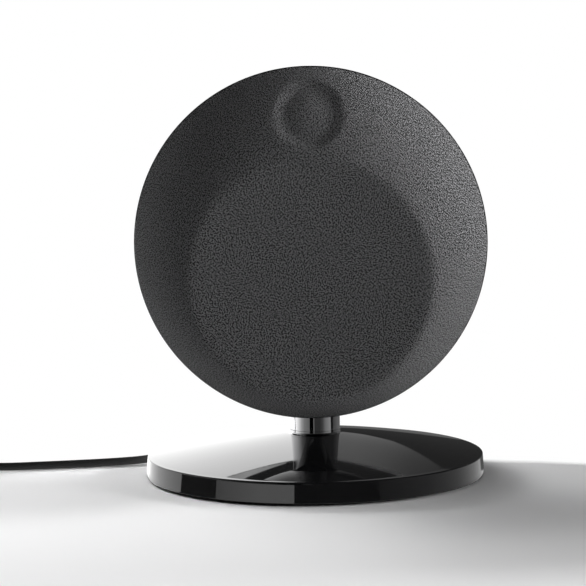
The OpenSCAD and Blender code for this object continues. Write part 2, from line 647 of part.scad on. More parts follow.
module choke_coil() color(copper) on_head(-13, board_y) translate([0, 0, board_z]) {
    tube(11, 4, 0.1, 1.2);
    tube(10, 4, 1.2, 9);
    tube(11, 4, 9, 10.1);
}

module capacitors() color([0.75, 0.6, 0.25]) for (row = [-1, 1])
    on_head(4.5, board_y + row * 9 - 2) translate([0, 0, board_z + 4.65]) rotate([0, 90, 0])
    rotate_extrude($fn = 48) polygon([[0, 0], [3.9, 0], [4.5, 0.8], [4.5, 16.2], [3.9, 17], [0, 17]]);

module resistor() color([0.85, 0.84, 0.8]) on_head(7, board_y - 2) translate([0, -2.8, board_z + 0.1])
    cube([15, 5.2, 5]);

module terminal_strip() color(soft_black) on_woofer()
    translate([-strip_l / 2, strip_foot, basket_back - strip_h - 0.05]) difference() {
        cube([strip_l, strip_w, strip_h]);
        for (side = [-1, 1])
            translate([strip_l / 2 + side * strip_pitch / 2, strip_w - 1.4, 1]) rod(0.7, 0, strip_h);
    }

module wadding() color([0.85, 0.85, 0.82]) on_head() rotate([0, 0, 25])
    rotate_extrude(angle = 130, $fn = 96) polygon(concat(
        [for (d = [21:4:53]) [cavity_r(d) - 0.4, -d]],
        [for (d = [53:-4:21]) [cavity_r(d) - 8.4, -d]]));

// Wires in the head, written as world points
strip_front = -rim_y - basket_back + strip_h + 0.15;
strip_up = head_z - woofer_drop + strip_foot + strip_w - 1.4;
board_front = -rim_y - board_z;
module woofer_wires() color(copper) for (side = [-1, 1]) swept_tube([
    [side * strip_pitch / 2, strip_front, strip_up],
    [side * strip_pitch / 2, strip_front + 3, strip_up + 0.5],
    [side * 5, strip_front + 9, strip_up + 4], [side * 8, strip_front + 18, strip_up + 9],
    [side * 10, board_front - 7, head_z + board_y + 18.5],
    [side * 10, board_front - 2, head_z + board_y + 18],
    [side * 10, board_front - 0.1, head_z + board_y + 18]], 0.9, 8, [1, 0, 0]);

module tweeter_wires() color([0.6, 0.1, 0.1]) for (side = [-1, 1]) let(
    back = -rim_y - cup_back, up = head_z + tweeter_rise) swept_tube([
    [side * 4, back + 0.1, up - 4], [side * 4, back + 4, up - 4], [side * 5, back + 12, up - 8],
    [side * 6, back + 26, up - 18], [side * 6, board_front - 7, head_z + board_y + 20],
    [side * 6, board_front - 2, head_z + board_y + 18], [side * 6, board_front - 0.1, head_z + board_y + 18]],
    0.8, 8, [1, 0, 0]);

// Grille, which pulls off forward

function inset_row(t, inset, low) = [for (a = loft_angles) let(q = cap_point(t, a, inset, inset))
    [q[0], q[1], max(q[2], low)]];
function cap_rows(inset, low) = [for (t = cap_steps) inset_row(t, inset, low)];
function reversed(rows) = [for (i = [len(rows) - 1:-1:0]) rows[i]];
function dish_rows(drop) = [for (s = [0.35, 0.7]) [for (a = loft_angles) dish_point(s, a, drop)]];
function loft_at(x, y, low = 0, high = 1, tries = 18) = let(t = (low + high) / 2)
    tries == 0 ? t
    : norm([x, y - loft_y(t)]) > loft_r(t, 0) ? loft_at(x, y, t, high, tries - 1)
    : loft_at(x, y, low, t, tries - 1);
frame_inset = cloth_t + frame_lip;

module grille_cloth() color(cloth_grey) on_head() skin(concat(
    dish_rows(0), cap_rows(0, cloth_foot), reversed(cap_rows(cloth_t, cloth_foot - 0.2)),
    reversed(dish_rows(cloth_t))), false);

module grille_frame() color(soft_black) on_head() {
    difference() {
        skin(concat(cap_rows(frame_inset, free_gap + 0.2),
            reversed(cap_rows(frame_inset + frame_t, free_gap))), true);
        translate([0, tweeter_rise, 0]) rod(bump_r + 1.8, -1, 40);
    }
    for (a = peg_angles) let(
        x = peg_r * cos(a), y = peg_r * sin(a),
        top = loft_z(loft_at(x, y)) - frame_inset - frame_t + 0.2)
        translate([x, y, 0]) rod(peg_d / 2, baffle_back + 2.2, top);
}

// Lead, its coil and its plug

function coil_angle(i) = -90 - 360 * i / 24;
function coil_turn(i) = i / 24;
coil_rings = 24 * coil_turns;
layer_turns = coil_turns / coil_layers;
function wave(u) = let(m = u % 2) m < 1 ? m : 2 - m;
function climb(u) = let(
    near = round(u / layer_turns), off = u - near * layer_turns)
    near < 1 || near > coil_layers - 1 ? floor(min(u / layer_turns, coil_layers - 0.001))
    : abs(off) > 0.25 ? (off > 0 ? near : near - 1)
    : near - 0.5 + off * 2;
function coil_radius(u) = coil_out_r - coil_pitch * layer_turns * wave(u / layer_turns);
coil_points = concat(
    [[coil_x + lead_d, lead_y, coil_floor]],
    [for (i = [0:coil_rings]) let(u = coil_turn(i), r = coil_radius(u))
        [coil_x + r * cos(coil_angle(i)), coil_y + r * sin(coil_angle(i)),
         coil_floor + coil_pitch * climb(u)]],
    [[coil_x - lead_d, lead_y, coil_top]]);
coil_gap = min([for (i = [1:coil_rings - 8]) for (j = [i + 8:coil_rings])
    norm(coil_points[i] - coil_points[j])]) - lead_d;
echo(least_gap_in_the_coil = coil_gap);

module lead() color(soft_black) swept_tube(lead_route, lead_r, 8);

module lead_coil() color(soft_black) swept_tube(coil_points, lead_r, 6);

module lead_tie() color([0.12, 0.12, 0.12]) translate([coil_x, coil_y, 0]) rotate([90, 0, 90])
    translate([0, 0, -4]) linear_extrude(8) difference() {
        tie_section(1.2);
        tie_section(0);
    }
module tie_section(grow) let(
    near = coil_mid_r - coil_travel / 2 - lead_r - 1.1, far = coil_out_r + lead_r + 0.7,
    low = coil_floor - lead_r - 0.15, high = coil_top + lead_r + 0.3, round_r = 2)
    translate([near + round_r, low + round_r]) offset(r = round_r + grow, $fn = 32)
    square([far - near - 2 * round_r, high - low - 2 * round_r]);

module lead_tail() color(soft_black) swept_tube(tail_route, lead_r, 8);

module on_plug() translate([plug_x, plug_y, plug_z]) rotate([-90, 0, 0]) children();

module plug_body() color(soft_black) on_plug() rotate_extrude($fn = 64) polygon([
    [0, 0], [lead_r + 0.6, 0], [plug_d / 2 - 1.6, relief_len], [plug_d / 2, relief_len + 1.6],
    [plug_d / 2, relief_len + shell_len - 1], [plug_d / 2 - 1, relief_len + shell_len],
    [0, relief_len + shell_len]]);

module plug_collar() color(bright) on_plug() difference() {
    tube(collar_r, collar_r - 0.55, relief_len + shell_len, relief_len + shell_len + collar_len);
    for (a = [0, 90]) rotate([0, 0, a]) translate([-6, -0.5, relief_len + shell_len + 2.5]) cube([12, 1, 10]);
}

module plug_pin() color(bright) on_plug() rotate_extrude($fn = 48) polygon([
    [0, relief_len + shell_len], [pin_r, relief_len + shell_len],
    [pin_r, relief_len + shell_len + collar_len + pin_out - 1.4],
    [0.6, relief_len + shell_len + collar_len + pin_out],
    [0, relief_len + shell_len + collar_len + pin_out]]);

base_disc();
base_cover();
cover_screws();
foot_ring();
ballast_ring();
foot_collar();
lead_gland();
gland_clip();
inner_lead();
swivel_washer();
spring_washer();
swivel_nut();
stem_post();
stem_sleeve();
stem_wires();
pivot_screws();
pivot_washers();
head_shell();
baffle_gasket();
baffle();
baffle_screws();
grille_cups();
woofer_basket();
woofer_screws();
woofer_surround();
woofer_cone();
dust_cap();
voice_coil();
woofer_spider();
top_plate();
magnet_ring();
back_plate();
tweeter_plate();
tweeter_screws();
tweeter_dome();
tweeter_cup();
tweeter_magnet();
crossover_board();
board_screws();
choke_coil();
capacitors();
resistor();
wadding();
woofer_wires();
tweeter_wires();
terminal_strip();
grille_frame();
grille_cloth();
lead();
lead_coil();
lead_tie();
lead_tail();
plug_body();
plug_collar();
plug_pin();
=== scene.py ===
"""Looks of a compact two-way loudspeaker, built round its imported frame."""

import logging
import math
from dataclasses import dataclass
from enum import Enum
from functools import cache
from itertools import pairwise
from typing import Callable, Iterable, Sequence

import bmesh
import bpy
from mathutils import Matrix, Vector


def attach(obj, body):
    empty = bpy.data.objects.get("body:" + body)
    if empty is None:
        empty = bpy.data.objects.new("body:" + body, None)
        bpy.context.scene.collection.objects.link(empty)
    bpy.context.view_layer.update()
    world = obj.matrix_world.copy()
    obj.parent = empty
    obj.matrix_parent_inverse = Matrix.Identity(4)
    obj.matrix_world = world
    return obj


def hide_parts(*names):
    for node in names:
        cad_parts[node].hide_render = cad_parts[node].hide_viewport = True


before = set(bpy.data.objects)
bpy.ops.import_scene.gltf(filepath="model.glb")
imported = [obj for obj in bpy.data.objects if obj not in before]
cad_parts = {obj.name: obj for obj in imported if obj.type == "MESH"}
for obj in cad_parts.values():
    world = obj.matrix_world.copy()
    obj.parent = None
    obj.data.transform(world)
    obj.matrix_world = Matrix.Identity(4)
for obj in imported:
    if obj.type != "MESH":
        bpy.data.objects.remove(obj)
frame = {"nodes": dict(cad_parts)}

Pair = tuple[float, float]
Triple = tuple[float, float, float]
Place = Callable[[float, float, float], Vector]
Piece = bpy.types.Object
Socket = bpy.types.NodeSocket
Tree = bpy.types.NodeTree

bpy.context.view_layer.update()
LOG = logging.getLogger("loudspeaker")
MM = 0.001
CRISP = 35.0  # degrees, above which an edge stays sharp
SUPPORT = 0.2  # length of a flat strip beside a rounded corner, as a share of its radius


class Body(Enum):
    """Bodies of the frame that pieces ride on."""

    BASE = "base"
    STEM = "stem"
    HEAD = "head"
    GRILLE = "grille"


@dataclass(frozen=True)
class HeadFrame:
    """Place of the head: the plane of its rim and its centre, in millimetres."""

    rim_y: float = 46.0
    height: float = 102.5
    woofer_up: float = -13.0
    tweeter_up: float = 52.2

    def at(self, x: float, up: float, forward: float) -> Vector:
        """Gives the world point, in metres, of a point of the head in millimetres."""
        return Vector((x, -self.rim_y - forward, self.height + up)) * MM

    def on_axis(self, up: float = 0.0) -> Place:
        """Gives a placing function for a turned piece that points forward, at a height above the centre."""
        return lambda x, y, h: self.at(x, y + up, h)


HEAD = HeadFrame()
AIM = HEAD.at(0, 0, 10)  # point that the lamps look at


def upright(x: float, y: float, h: float) -> Vector:
    """Places a turned piece on the swivel axis."""
    return Vector((x, y, h)) * MM


def sideways(y: float, z: float, x: float) -> Vector:
    """Places a flat outline that faces sideways."""
    return Vector((x, y, z)) * MM


def backward(centre: Triple) -> Place:
    """Gives a placing function for a turned piece whose axis points to +Y from centre."""
    return lambda x, y, h: Vector((centre[0] + x, centre[1] + h, centre[2] - y)) * MM


# Nodes


def node(tree: Tree, kind: str, inputs: dict[str | int, object] | None = None, **settings: object) -> bpy.types.Node:
    """Adds a node with its settings and its inputs.

    Args:
        tree: tree of the node.
        kind: type of the node.
        inputs: value of each input, or the socket that feeds it.
        settings: value of each setting.

    Returns:
        The node.
    """
    made = tree.nodes.new(kind)
    for key, value in settings.items():
        setattr(made, key, value)
    for key, value in (inputs or {}).items():
        if isinstance(value, Socket):
            tree.links.new(value, made.inputs[key])
        else:
            made.inputs[key].default_value = value
    return made


def maths(tree: Tree, operation: str, *values: float | Socket, clamp: bool = False) -> Socket:
    """Gives the result of a math node."""
    return node(tree, "ShaderNodeMath", dict(enumerate(values)), operation=operation, use_clamp=clamp).outputs[0]


def ranged(tree: Tree, value: Socket, start: Sequence[float | Socket] = (0.0, 1.0),
           end: Sequence[float | Socket] = (0.0, 1.0), blend: str = "LINEAR") -> Socket:
    """Gives a value carried from one range to another."""
    limits = dict(zip(("From Min", "From Max", "To Min", "To Max"), (*start, *end)))
    return node(tree, "ShaderNodeMapRange", {"Value": value, **limits}, interpolation_type=blend).outputs["Result"]


class Groups:
    """Shader node groups that several finishes share, each built once."""

    @staticmethod
    def start(name: str, outputs: Sequence[str], **inputs: float) -> Tree:
        """Makes an empty group with a vector input.

        Args:
            name: name of the group.
            outputs: name of each output.
            inputs: default of each further input.

        Returns:
            The node tree, with its input and output nodes in place.
        """
        tree = bpy.data.node_groups.new(name, "ShaderNodeTree")
        tree.interface.new_socket("Vector", in_out="INPUT", socket_type="NodeSocketVector")
        for label, value in inputs.items():
            socket = tree.interface.new_socket(label, in_out="INPUT", socket_type="NodeSocketFloat")
            socket.default_value = value
        for label in outputs:
            tree.interface.new_socket(label, in_out="OUTPUT", socket_type="NodeSocketFloat")
        tree.nodes.new("NodeGroupInput").name = "in"
        tree.nodes.new("NodeGroupOutput").name = "out"
        return tree

    @staticmethod
    def end(tree: Tree, **outputs: Socket) -> Tree:
        """Links the outputs of a group and gives it back."""
        for label, socket in outputs.items():
            tree.links.new(socket, tree.nodes["out"].inputs[label])
        return tree

    @staticmethod
    @cache
    def grain() -> Tree:
        """Fine moulded or cast grain: a height and a mask from two scales of noise."""
        broad_share, patches = 0.035, (0.35, 0.7)
        tree = Groups.start("fine_grain", ("Height", "Mask"), Scale=900.0)
        ins = tree.nodes["in"].outputs
        fine = node(tree, "ShaderNodeTexNoise", {"Vector": ins["Vector"], "Scale": ins["Scale"], "Detail": 3.0})
        broad = node(tree, "ShaderNodeTexNoise", {
            "Vector": ins["Vector"], "Scale": maths(tree, "MULTIPLY", ins["Scale"], broad_share), "Detail": 4.0})
        return Groups.end(tree, Height=fine.outputs["Fac"], Mask=ranged(tree, broad.outputs["Fac"], patches))

    @staticmethod
    @cache
    def weave() -> Tree:
        """A plain weave on a flat map in metres: height of the yarns and a mask of the holes."""
        hole_edge = (0.55, 0.1)
        tree = Groups.start("weave", ("Height", "Hole"), Pitch=0.0008)
        ins = tree.nodes["in"].outputs
        scaled = node(tree, "ShaderNodeVectorMath", {
            0: ins["Vector"], "Scale": maths(tree, "DIVIDE", math.pi, ins["Pitch"])}, operation="SCALE")
        split = node(tree, "ShaderNodeSeparateXYZ", {0: scaled.outputs[0]})
        warp, weft = (maths(tree, "ABSOLUTE", maths(tree, "SINE", split.outputs[axis])) for axis in ("X", "Y"))
        return Groups.end(tree, Height=maths(tree, "MULTIPLY", warp, weft),
                          Hole=ranged(tree, maths(tree, "MAXIMUM", warp, weft), hole_edge))


# Finishes


@dataclass(frozen=True)
class Finish:
    """A surface finish: its plain values, its grain and how much its roughness and colour vary.

    Sizes of grain are in grains per metre, and bump depths in metres.
    """

    name: str
    colour: Triple
    roughness: float
    metallic: float = 0.0
    specular: float = 0.5
    coat: float = 0.0
    coat_roughness: float = 0.03
    sheen: float = 0.0
    sheen_roughness: float = 0.5
    grain: float = 1500.0
    depth: float = 0.00001
    rough_spread: float = 0.05
    colour_spread: float = 0.1

    def vector(self, tree: Tree) -> Socket:
        """Gives the socket with the coordinates that the pattern is drawn on."""
        return node(tree, "ShaderNodeTexCoord").outputs["Object"]

    def pattern(self, tree: Tree) -> tuple[Socket, Socket]:
        """Gives the height and mask sockets of the finish's pattern."""
        grain = node(tree, "ShaderNodeGroup", {"Scale": self.grain, "Vector": self.vector(tree)},
                     node_tree=Groups.grain())
        return grain.outputs["Height"], grain.outputs["Mask"]

    def build(self) -> bpy.types.Material:
        """Makes the material, once for each name.

        Returns:
            The material, with a Principled BSDF of its own.
        """
        if self.name in bpy.data.materials:
            return bpy.data.materials[self.name]
        material = bpy.data.materials.new(self.name)
        material.use_nodes = True
        tree = material.node_tree
        shader = tree.nodes["Principled BSDF"]
        for label, value in {"Metallic": self.metallic, "Specular IOR Level": self.specular,
                             "Coat Weight": self.coat, "Coat Roughness": self.coat_roughness,
                             "Sheen Weight": self.sheen, "Sheen Roughness": self.sheen_roughness}.items():
            shader.inputs[label].default_value = value
        height, mask = self.pattern(tree)
        dark, light = ((*[min(1.0, c * (1 + spread)) for c in self.colour], 1)
                       for spread in (-self.colour_spread, self.colour_spread))
        tint = node(tree, "ShaderNodeMix", {"A": dark, "B": light, "Factor": mask}, data_type="RGBA")
        rough = (max(0.0, self.roughness - self.rough_spread), self.roughness + self.rough_spread)
        tree.links.new(tint.outputs["Result"], shader.inputs["Base Color"])
        tree.links.new(ranged(tree, mask, end=rough), shader.inputs["Roughness"])
        if self.depth > 0:
            bump = node(tree, "ShaderNodeBump", {"Distance": self.depth, "Strength": 1.0, "Height": height})
            tree.links.new(bump.outputs["Normal"], shader.inputs["Normal"])
        return material


@dataclass(frozen=True)
class Woven(Finish):
    """A cloth finish, drawn on the piece's own flat map."""

    pitch: float = 0.0008
    fluff_scale: float = 1800.0
    fluff_range: float = 0.03
    # how far painted shade darkens the weave's holes, in colour only, not in height
    hole_shade: float = 0.25

    def vector(self, tree: Tree) -> Socket:
        """Gives the flat map's socket."""
        return node(tree, "ShaderNodeTexCoord").outputs["UV"]

    def pattern(self, tree: Tree) -> tuple[Socket, Socket]:
        """Gives the weave's height, and a mask of yarns and fluff against holes, with painted shade that darkens the
        holes.
        """
        place = self.vector(tree)
        weave = node(tree, "ShaderNodeGroup", {"Pitch": self.pitch, "Vector": place}, node_tree=Groups.weave())
        fluff = node(tree, "ShaderNodeTexNoise", {
            "Vector": place, "Scale": self.fluff_scale, "Detail": 2.0, "Roughness": 0.7})
        tufts = ranged(tree, fluff.outputs["Fac"], (0.5 - self.fluff_range, 0.5 + self.fluff_range))
        # painted shade: the holes between the yarns are darkened in the colour mask
        shade = maths(tree, "MULTIPLY", weave.outputs["Hole"], self.hole_shade)
        return (maths(tree, "ADD", weave.outputs["Height"], tufts),
                maths(tree, "SUBTRACT", tufts, shade, clamp=True))


@dataclass(frozen=True)
class Wound(Finish):
    """Enamelled wire wound side by side along the piece's depth."""

    pitch: float = 0.0006

    def pattern(self, tree: Tree) -> tuple[Socket, Socket]:
        """Gives the ridges of the wires as height, and as a mask that paints shade into the grooves between them,
        which come out darker than the crests.
        """
        wave = node(tree, "ShaderNodeTexWave", {
            "Scale": math.pi / (10 * self.pitch), "Vector": self.vector(tree)}, bands_direction="Y")
        return wave.outputs["Fac"], wave.outputs["Fac"]


PIANO = Finish("piano_black", (0.006, 0.006, 0.0065), 0.05, coat=0.6, coat_roughness=0.02, grain=700.0, depth=0.0,
               rough_spread=0.03, colour_spread=0.2)
SHELL = Finish("shell_black", (0.006, 0.006, 0.0065), 0.2, specular=0.25, grain=900.0, depth=0.0,
               rough_spread=0.03, colour_spread=0.2)
MOULDED = Finish("moulded_black", (0.022, 0.022, 0.023), 0.5, grain=2600.0, depth=0.00002, rough_spread=0.08)
RUBBER = Finish("black_rubber", (0.018, 0.018, 0.018), 0.68, specular=0.3, grain=3000.0, depth=0.00002)
SHEATH = Finish("lead_sheath", (0.002, 0.002, 0.0022), 0.5, specular=0.15, grain=1800.0, depth=0.000008)
CHROME = Finish("polished_metal", (0.78, 0.78, 0.79), 0.07, metallic=1.0, grain=900.0, depth=0.0,
                rough_spread=0.03, colour_spread=0.02)
ZINC = Finish("zinc_plate", (0.52, 0.53, 0.55), 0.34, metallic=1.0, grain=2600.0, depth=0.000006, rough_spread=0.1)
STEEL = Finish("turned_steel", (0.4, 0.4, 0.41), 0.3, metallic=1.0, grain=2200.0, depth=0.000006)
DARK_STEEL = Finish("coated_steel", (0.045, 0.045, 0.047), 0.45, grain=1800.0, depth=0.000015)
FERRITE = Finish("ground_ferrite", (0.07, 0.07, 0.073), 0.62, grain=3000.0, depth=0.00002)
PAPER = Finish("pressed_fibre", (0.024, 0.024, 0.025), 0.72, grain=1100.0, depth=0.00008, sheen=0.1)
SILK = Finish("doped_silk", (0.02, 0.02, 0.021), 0.45, grain=5000.0, depth=0.00002, sheen=0.2)
RESIN_CLOTH = Finish("resin_cloth", (0.42, 0.28, 0.1), 0.75, grain=2400.0, depth=0.00004)
COPPER = Wound("enamelled_copper", (0.62, 0.22, 0.09), 0.3, metallic=1.0, depth=0.00008)
LAMINATE = Finish("board_laminate", (0.03, 0.16, 0.06), 0.35, grain=900.0, depth=0.000006, colour_spread=0.25)
FILM = Finish("dipped_film", (0.5, 0.3, 0.06), 0.3, grain=700.0)
CEMENT = Finish("cement", (0.72, 0.7, 0.63), 0.8, grain=2600.0, depth=0.00004)
FIBRE = Finish("loose_fibre", (0.74, 0.74, 0.7), 0.95, grain=800.0, depth=0.0006, sheen=0.4)
CLOTH = Woven("grille_knit", (0.085, 0.085, 0.087), 0.9, specular=0.1, sheen=0.15, sheen_roughness=0.4,
              depth=0.00016, rough_spread=0.03, colour_spread=0.9, pitch=0.00085)
STRAP = Woven("hook_strap", (0.012, 0.012, 0.012), 0.9, specular=0.1, sheen=0.3, depth=0.0002, pitch=0.0009)

NODE_FINISH: dict[Finish, tuple[str, ...]] = {
    MOULDED: ("base_cover", "baffle", "tweeter_plate", "grille_frame", "terminal_strip"),
    RUBBER: ("foot_ring", "baffle_gasket", "grille_cups", "pivot_washers"),
    ZINC: ("cover_screws", "gland_clip", "spring_washer", "swivel_nut", "pivot_screws", "board_screws",
           "top_plate", "back_plate"),
    STEEL: ("stem_post", "tweeter_magnet"),
    CHROME: ("swivel_washer", "plug_collar", "plug_pin"),
    FERRITE: ("ballast_ring", "magnet_ring"),
    DARK_STEEL: ("woofer_basket", "tweeter_cup"),
    COPPER: ("stem_wires", "woofer_wires", "tweeter_wires", "voice_coil", "choke_coil"),
    PAPER: ("woofer_cone", "dust_cap"),
    SILK: ("tweeter_dome",), LAMINATE: ("crossover_board",), FILM: ("capacitors",), CEMENT: ("resistor",),
    SHEATH: ("inner_lead",),
}


# Meshes


def added(name: str, data: bpy.types.ID) -> Piece:
    """Puts a mesh, camera or lamp into the scene as an object."""
    piece = bpy.data.objects.new(name, data)
    bpy.context.scene.collection.objects.link(piece)
    return piece


def smooth(mesh: bpy.types.Mesh, crisp: float = CRISP) -> None:
    """Shades a mesh smooth, apart from edges over an angle in degrees."""
    mesh.polygons.foreach_set("use_smooth", [True] * len(mesh.polygons))
    mesh.set_sharp_from_angle(angle=math.radians(crisp))


def piece_from(name: str, points: Sequence[Vector], faces: Sequence[Sequence[int]], finish: Finish,
               crisp: float = CRISP) -> Piece:
    """Makes a smooth-shaded object with its place in its mesh.

    Args:
        name: name of the object.
        points: corners in metres.
        faces: corner numbers of each face, anticlockwise from outside.
        finish: finish of the whole piece.
        crisp: angle in degrees above which an edge stays sharp.

    Returns:
        The object, linked to the scene.
    """
    mesh = bpy.data.meshes.new(name)
    mesh.from_pydata([tuple(p) for p in points], [], [tuple(f) for f in faces])
    mesh.validate()
    smooth(mesh, crisp)
    mesh.materials.append(finish.build())
    return added(name, mesh)


def arc(angles: Iterable[float], across: float, high: float | None = None, centre: Pair = (0.0, 0.0)) -> list[Pair]:
    """Gives the points of a round or oval arc.

    Args:
        angles: angle of each point, in degrees.
        across: radius along the first axis.
        high: radius along the second axis, or None for the same.
        centre: centre of the arc.

    Returns:
        The points.
    """
    high = across if high is None else high
    return [(centre[0] + across * math.cos(a), centre[1] + high * math.sin(a)) for a in map(math.radians, angles)]


def rounded(corners: Sequence[Pair], radii: dict[int, float], steps: int = 6) -> list[Pair]:
    """Rounds chosen corners of a profile with short arcs, and keeps the walls beside them flat.

    Args:
        corners: points of the profile, as radius and height.
        radii: radius for each corner that is rounded, by its number.
        steps: spans of each arc.

    Returns:
        The profile with its arcs.
    """
    out: list[Pair] = []
    for i, corner in enumerate(corners):
        if i not in radii:
            out.append(corner)
            continue
        here = Vector(corner)
        back = (Vector(corners[i - 1]) - here).normalized()
        ahead = (Vector(corners[(i + 1) % len(corners)]) - here).normalized()
        half = max(1e-4, back.angle(ahead) / 2)
        reach = radii[i] / math.tan(half)
        start, end = here + back * reach, here + ahead * reach
        centre = here + (back + ahead).normalized() * (radii[i] / math.sin(half))
        out.append(tuple(start + back * radii[i] * SUPPORT))
        for k in range(steps + 1):
            spoke = (start - centre).lerp(end - centre, k / steps)
            out.append(tuple(centre + spoke.normalized() * radii[i]))
        out.append(tuple(end + ahead * radii[i] * SUPPORT))
    return out


def skin(rows: int, sides: int) -> list[list[int]]:
    """Gives the quads between rows of points that each close round."""
    return [[i * sides + k, i * sides + (k + 1) % sides, (i + 1) * sides + (k + 1) % sides, (i + 1) * sides + k]
            for i in range(rows - 1) for k in range(sides)]


def turned(name: str, profile: Sequence[Pair], finish: Finish, place: Place, sides: int = 192, ring: bool = False,
           crisp: float = CRISP) -> Piece:
    """Turns a profile about its axis into a closed piece.

    Args:
        name: name of the object.
        profile: radius and height of each point, anticlockwise in the radius-height plane.
        finish: finish of the piece.
        place: function that puts a local point into the world.
        sides: number of sides round the axis.
        ring: True where the profile is a closed loop off the axis.
        crisp: angle above which an edge stays sharp.

    Returns:
        The piece.
    """
    points: list[Vector] = []
    rows: list[list[int]] = []
    for r, h in profile:
        if r < 1e-6:
            rows.append([len(points)] * sides)
            points.append(place(0, 0, h))
            continue
        rows.append(list(range(len(points), len(points) + sides)))
        points += [place(r * math.cos(2 * math.pi * k / sides), r * math.sin(2 * math.pi * k / sides), h)
                   for k in range(sides)]
    faces = []
    for i in range(len(rows) if ring else len(rows) - 1):
        low, high = rows[i], rows[(i + 1) % len(rows)]
        for k in range(sides):
            n = (k + 1) % sides
            loop = [low[k], low[n], high[n], high[k]]
            face = [v for j, v in enumerate(loop) if v != loop[j - 1]]
            if len(face) > 2:
                faces.append(face)
    return piece_from(name, points, faces, finish, crisp)


def outward(piece: Piece) -> Piece:
    """Merges doubles and turns every face outwards."""
    shape = bmesh.new()
    shape.from_mesh(piece.data)
    bmesh.ops.remove_doubles(shape, verts=shape.verts, dist=1e-7)
    bmesh.ops.recalc_face_normals(shape, faces=shape.faces)
    shape.to_mesh(piece.data)
    shape.free()
    return piece


def evaluated(piece: Piece) -> Piece:
    """Puts the result of a piece's modifiers into its mesh and removes them."""
    graph = bpy.context.evaluated_depsgraph_get()
    mesh = bpy.data.meshes.new_from_object(piece.evaluated_get(graph))
    piece.modifiers.clear()
    piece.data = mesh
    return piece


def prism(name: str, outline: Sequence[Pair], low: float, high: float, finish: Finish, place: Place) -> Piece:
    """Draws a flat outline out along its normal.

    Args:
        name: name of the object.
        outline: points of the outline.
        low: start along the normal.
        high: end along the normal.
        finish: finish of the piece.
        place: function from outline x, outline y and height to the world.

    Returns:
        The piece.
    """
    n = len(outline)
    points = [place(x, y, h) for h in (low, high) for x, y in outline]
    faces = [list(range(n))[::-1], list(range(n, 2 * n)), *skin(2, n)]
    return outward(piece_from(name, points, faces, finish))


def cut(piece: Piece, tool: Piece) -> Piece:
    """Cuts a tool piece, which is then removed, out of a piece."""
    modifier = piece.modifiers.new("cut", "BOOLEAN")
    modifier.operation = "DIFFERENCE"
    modifier.solver = "EXACT"
    modifier.object = tool
    evaluated(piece)
    bpy.data.objects.remove(tool)
    smooth(piece.data)
    return piece


def flatten(piece: Piece, flat: Sequence[Pair]) -> Piece:
    """Gives a piece its flat map, from the place of each of its points on it."""
    layer = piece.data.uv_layers.new(name="flat")
    for loop in piece.data.loops:
        layer.data[loop.index].uv = flat[loop.vertex_index]
    return piece


def smooth_path(points: Sequence[Triple], step: float) -> list[Vector]:
    """Draws a smooth line through points.

    Args:
        points: points that the line goes through, in millimetres.
        step: distance between the new points, about, in metres.

    Returns:
        Points on the line in metres, ends included.
    """
    first, *rest = (Vector(p) * MM for p in points)
    padded = [first * 2 - rest[0], first, *rest, rest[-1] * 2 - rest[-2]]
    out: list[Vector] = []
    for i in range(1, len(padded) - 2):
        a, b, c, d = padded[i - 1:i + 3]
        spans = max(1, round((c - b).length / step))
        for k in range(spans):
            t = k / spans
            out.append(0.5 * ((2 * b) + (c - a) * t + (2 * a - 5 * b + 4 * c - d) * t * t
                              + (3 * b - a - 3 * c + d) * t ** 3))
    return [*out, rest[-1]]


def tube_along(name: str, path: Sequence[Vector], radius: float, finish: Finish, sides: int = 14) -> Piece:
    """Sweeps a round section along a path, with closed ends.

    Args:
        name: name of the object.
        path: centre line in metres.
        radius: radius in metres.
        finish: finish of the piece.
        sides: number of sides of the section.

    Returns:
        The piece.
    """
    points: list[Vector] = []
    side = Vector((0, 0, 1))
    for i, here in enumerate(path):
        ahead = (path[min(i + 1, len(path) - 1)] - path[max(i - 1, 0)]).normalized()
        side = (side - ahead * side.dot(ahead)).normalized()
        other = ahead.cross(side)
        points += [here + radius * (math.cos(2 * math.pi * k / sides) * side
                                    + math.sin(2 * math.pi * k / sides) * other) for k in range(sides)]
    last = (len(path) - 1) * sides
    faces = [*skin(len(path), sides), list(range(sides))[::-1], [last + k for k in range(sides)]]
    return piece_from(name, points, faces, finish, crisp=60.0)


def seat(piece: Piece, body: Body, slot: str, *nodes: str) -> Piece:
    """Lets a piece ride on its body and hides the nodes that it stands for."""
    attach(piece, body.value)
    for name in nodes:
        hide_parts(name)
    LOG.info("%s: %d faces on %s", piece.name, len(piece.data.polygons), body.value)
    return piece


# Geometry node trees for what repeats


